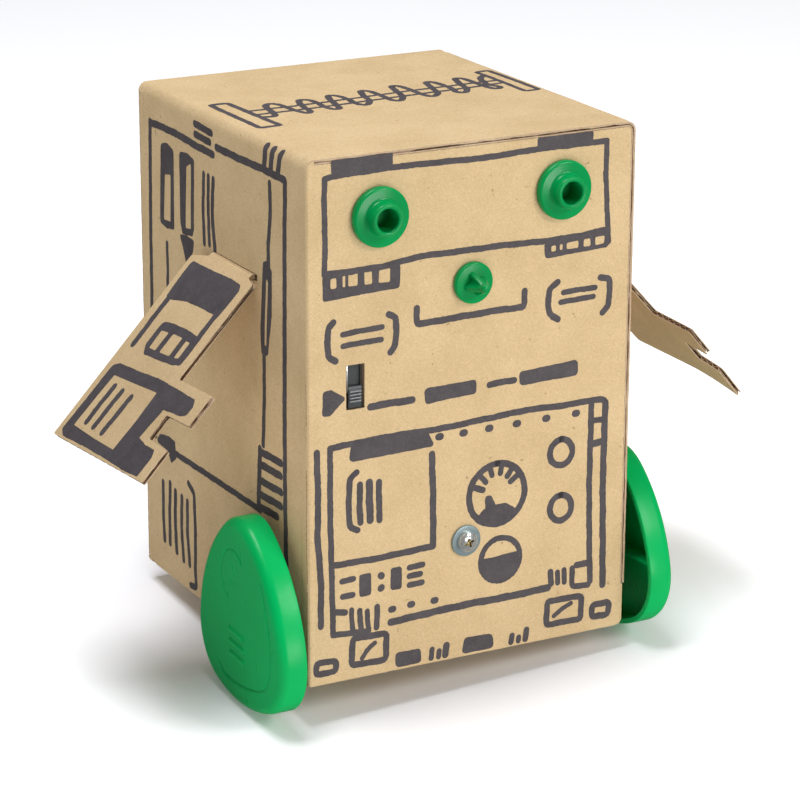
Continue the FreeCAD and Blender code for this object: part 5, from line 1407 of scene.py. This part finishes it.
def make_foot(name, side):
    b = Build()
    ring0 = foot_ring(0)
    n = len(ring0)
    hu, hv = to_foot(AXLE_Y, AXLE_Z)
    rings_, heights = [], []

    def ring_at(grow, x):
        rings_.append(foot_ring(grow))
        heights.append(np.full(n, x))

    # from the middle of the hollow's floor out to the rim, over it and back to the middle of the outer face
    floor = -FOOT_T + FOOT_WALL
    centre = np.array([0.0, 7.0])
    inner0 = foot_ring(-FOOT_WALL - 1.0)
    for s in (0.02, 0.15, 0.3, 0.45, 0.6, 0.75, 0.9):
        rings_.append(centre + (inner0 - centre) * s)
        heights.append(np.full(n, floor))
    for k in range(5):
        a = math.pi / 2 * k / 4
        ring_at(-FOOT_WALL - 1.0 + math.sin(a), floor + 1.0 - math.cos(a))
    ring_at(-FOOT_WALL, -3.0)
    ring_at(-FOOT_WALL, -0.6)
    for k in range(1, 5):
        a = math.pi / 2 * k / 4
        ring_at(-FOOT_WALL + 0.4 * (1 - math.cos(a)), -0.4 + 0.4 * math.sin(a))
    for k in range(5):
        a = math.pi / 2 * k / 4
        ring_at(-0.4 + 0.4 * math.sin(a), -0.4 + 0.4 * math.cos(a))
    ring_at(0.0, -3.0)
    for k in range(0, 11):
        a = math.pi / 2 * k / 10
        ring_at(-FOOT_EDGE_R * (1 - math.cos(a)), -FOOT_T + FOOT_EDGE_R * (1 - math.sin(a)))
    edge_ring = foot_ring(-FOOT_EDGE_R)
    steps = 84
    for k in range(1, steps):
        f = 1 - k / steps
        p = centre + (edge_ring - centre) * f
        rings_.append(p)
        heights.append(-FOOT_T - face_relief(p))
    co = np.concatenate([np.stack([h, r[:, 0], r[:, 1]], 1) for r, h in zip(rings_, heights)])
    fa = []
    for i in range(len(rings_) - 1):
        for j in range(n):
            a, c = i * n + j, i * n + (j + 1) % n
            fa.append((a, c, c + n, a + n))
    fa.append(tuple(range(n))[::-1])
    fa.append(tuple((len(rings_) - 1) * n + j for j in range(n)))
    shells = [(co, fa)]
    # hub with its socket's mouth, and the ribs
    k = 40
    hub = []
    for r, x in ((4.4, floor - 0.2), (4.4, -0.6), (4.1, -0.3), (2.35, -0.3), (2.1, -0.55), (2.1, floor - 0.2)):
        hub.append([(x, hu + r * math.cos(2 * math.pi * i / k), hv + r * math.sin(2 * math.pi * i / k)) for i in range(k)])
    co2 = np.array([p for r in hub for p in r])
    fa2 = []
    for i in range(len(hub)):
        for j in range(k):
            a, c = i * k + j, i * k + (j + 1) % k
            i2 = (i + 1) % len(hub)
            fa2.append((a, c, i2 * k + (j + 1) % k, i2 * k + j))
    shells.append((co2, fa2))
    wall = foot_ring(-FOOT_WALL + 0.25)
    for ang in (60, 180, 300):
        t = math.radians(ang)
        d = np.array([math.cos(t), math.sin(t)])
        far = None
        for p, q_ in zip(wall, np.roll(wall, -1, 0)):
            e = q_ - p
            det = d[0] * (-e[1]) + e[0] * d[1]
            if abs(det) < 1e-9:
                continue
            w = p - np.array([hu, hv])
            s_ = (w[0] * (-e[1]) + e[0] * w[1]) / det
            u_ = (d[0] * w[1] - d[1] * w[0]) / det
            if s_ > 0 and -1e-6 <= u_ <= 1 + 1e-6:
                far = s_ if far is None else min(far, s_)
        nrm = np.array([-d[1], d[0]])
        co3, sect = [], [(-0.72, floor - 0.2), (-0.6, -2.6), (-0.42, -2.2), (0.42, -2.2), (0.6, -2.6), (0.72, floor - 0.2)]
        for s_ in (3.9, (3.9 + far) / 2, far):
            for off, x in sect:
                p = np.array([hu, hv]) + d * s_ + nrm * off
                co3.append((x, p[0], p[1]))
        m_ = len(sect)
        fa3 = []
        for i in range(2):
            for j in range(m_):
                fa3.append((i * m_ + j, i * m_ + (j + 1) % m_, (i + 1) * m_ + (j + 1) % m_, (i + 1) * m_ + j))
        fa3.append(tuple(range(m_))[::-1])
        fa3.append(tuple(2 * m_ + j for j in range(m_)))
        shells.append((np.array(co3), fa3))
    c, s = math.cos(FOOT_L_TURN), math.sin(FOOT_L_TURN)
    for co_, fa_ in shells:
        x, u, v_ = co_[:, 0], co_[:, 1], co_[:, 2]
        y, z = FOOT_L_AT[0] + u * c - v_ * s, FOOT_L_AT[1] + u * s + v_ * c
        X = -HW - FOOT_GAP + x
        if side > 0:
            X = -X
            pc, ps = math.cos(FOOT_PHASE), math.sin(FOOT_PHASE)
            dy, dz = y - AXLE_Y, z - AXLE_Z
            y, z = AXLE_Y + dy * pc - dz * ps, AXLE_Z + dy * ps + dz * pc
        b.shell(np.stack([X, y, z], 1), fa_, 0)
    ob = b.make(f"{name}_shell", "feet_axle", [GREEN], "green_plastic", angle=42)
    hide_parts(name)


def to_foot(y, z):
    t = -FOOT_L_TURN
    dy, dz = y - FOOT_L_AT[0], z - FOOT_L_AT[1]
    return (dy * math.cos(t) - dz * math.sin(t), dy * math.sin(t) + dz * math.cos(t))


make_foot("left_foot", -1)
make_foot("right_foot", 1)

# ------------------------------------------------------------------ slide switch
def block(build, x0, x1, y0, y1, z0, z1, r=0.0, mat=0):
    """A box whose edges along X are rounded."""
    sect = round_corners([(y0, z0, r), (y1, z0, r), (y1, z1, r), (y0, z1, r)], 3) if r else np.array([(y0, z0), (y1, z0), (y1, z1), (y0, z1)])
    k = len(sect)
    co = [(x, y, z) for x in (x0, x1) for y, z in sect]
    fa = [(j, (j + 1) % k, (j + 1) % k + k, j + k) for j in range(k)] + [tuple(range(k))[::-1], tuple(range(k, 2 * k))]
    build.shell(co, fa, mat)


b = Build()
block(b, sxc - 2.2, sxc + 2.2, 0.25, 6.2, sz0 + 0.3, sz0 + 7.1, 0.25)
for k in range(4):
    z = sz0 + 2.35 + k * 1.02
    block(b, sxc - 2.0, sxc + 1.75, -0.55, 0.5, z, z + 0.52, 0.18, 1)
block(b, sxc - 2.9, sxc + 2.9, 2.3, 2.65, sz0 - 6.4, sz0 + 14.2)
ob = b.make("switch_slider", "switch_knob", [BLACK, RIDGE_PAINTED_LIGHTER], "black_plastic", angle=30)
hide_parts("switch_knob")
b = Build()
for x0, x1, z0, z1 in ((sxc - 5.0, sxc - 2.4, 84.4, 103.6), (sxc + 2.4, sxc + 5.0, 84.4, 103.6), (sxc - 2.4, sxc + 2.4, 84.4, 87.0), (sxc - 2.4, sxc + 2.4, 101.0, 103.6)):
    block(b, x0, x1, 2.8, 6.4, z0, z1)
block(b, sxc - 5.0, sxc + 5.0, 6.4, 8.2, 84.4, 103.6, 0.3)
ob = b.make("switch_shell", "carton", [BLACK], "black_plastic", angle=30)
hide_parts("switch_body")
b = Build()
block(b, sxc - 2.78, sxc - 2.42, 0.35, 2.25, 92.4, 100.75, 0.1)
b.make("switch_ear", "carton", [STEEL], "zinc_steel", angle=30)

# ------------------------------------------------------------------ carried-over CAD nodes
LOOKS = {
    "switch_frame": STEEL, "switch_terminals": BRASS, "rivet_retainers": GREEN,
    "case_screws": SCREW_METAL, "gear_pins": STEEL, "output_axle": STEEL, "motor_shaft": STEEL, "motor_can": ZINC, "axle_bushes": BRASS,
    "battery_contact": BRASS, "battery_spring": STEEL, "gearbox_case": GREY, "gearbox_cover": GREY, "motor_cover": GREY, "battery_tray": GREY, "battery_cover": GREY,
    "first_gear": NYLON, "second_gear": NYLON, "output_gear": NYLON, "motor_pinion": NYLON, "motor_end_cap": NYLON, "motor_magnets": FERRITE, "motor_armature": COPPER,
    "battery_cell": CELL, "motor_lead": RED_LEAD, "battery_lead": BLACK_LEAD,
}
for name, mat in LOOKS.items():
    ob = NODES[name]
    ob.data.materials.clear()
    ob.data.materials.append(mat)

# ------------------------------------------------------------------ floor, light and camera
bpy.ops.mesh.primitive_grid_add(x_subdivisions=8, y_subdivisions=8, size=9.0, location=(0, 0, 0))
floor = bpy.context.active_object
floor.name = "studio_floor"
floor.data.materials.append(floor_material("studio_floor"))
floor.visible_glossy = False


def area(name, place, target, size, power, colour=(1, 1, 1), size_y=None):
    data = bpy.data.lights.new(name, "AREA")
    data.energy = power
    data.color = colour
    data.shape = "RECTANGLE"
    data.size = size
    data.size_y = size_y or size
    ob = bpy.data.objects.new(name, data)
    bpy.context.scene.collection.objects.link(ob)
    ob.location = place
    ob.rotation_mode = "QUATERNION"
    ob.rotation_quaternion = (Vector(target) - Vector(place)).to_track_quat("-Z", "Y")
    return ob


area("overhead", (-0.16, 0.05, 1.05), (0, 0, 0.05), 0.42, 8.7, colour=(0.98, 1.0, 1.07), size_y=0.42)
area("key_right", (0.62, -0.95, 0.85), (0, 0, 0.08), 0.42, 7.2, size_y=0.42)
area("low_front", (0.30, -1.05, 0.14), (0, 0, 0.07), 0.40, 3.1, size_y=0.2)

world_ = bpy.data.worlds.new("studio")
world_.use_nodes = True
nt = world_.node_tree
bg = nt.nodes["Background"]
bg.inputs[0].default_value = (1.0, 1.0, 1.0, 1)
bg.inputs[1].default_value = 0.13
bpy.context.scene.world = world_
bpy.context.scene.view_settings.view_transform = "Standard"
bpy.context.scene.view_settings.look = "None"

cam_data = bpy.data.cameras.new("camera")
cam_data.lens = 144.37
cam_data.sensor_width = 36.0
cam_data.clip_start, cam_data.clip_end = 0.01, 30.0
cam = bpy.data.objects.new("camera", cam_data)
bpy.context.scene.collection.objects.link(cam)
right, up, forward = Vector((0.88272, -0.46986, -0.00605)), Vector((0.18791, 0.34116, 0.92103)), Vector((0.43070, 0.81415, -0.38944))
cam.matrix_world = Matrix.Translation((-0.43978, -0.84153, 0.475694)) @ Matrix((
    (right[0], up[0], -forward[0], 0), (right[1], up[1], -forward[1], 0), (right[2], up[2], -forward[2], 0), (0, 0, 0, 1)))
bpy.context.scene.camera = cam

bpy.context.view_layer.update()
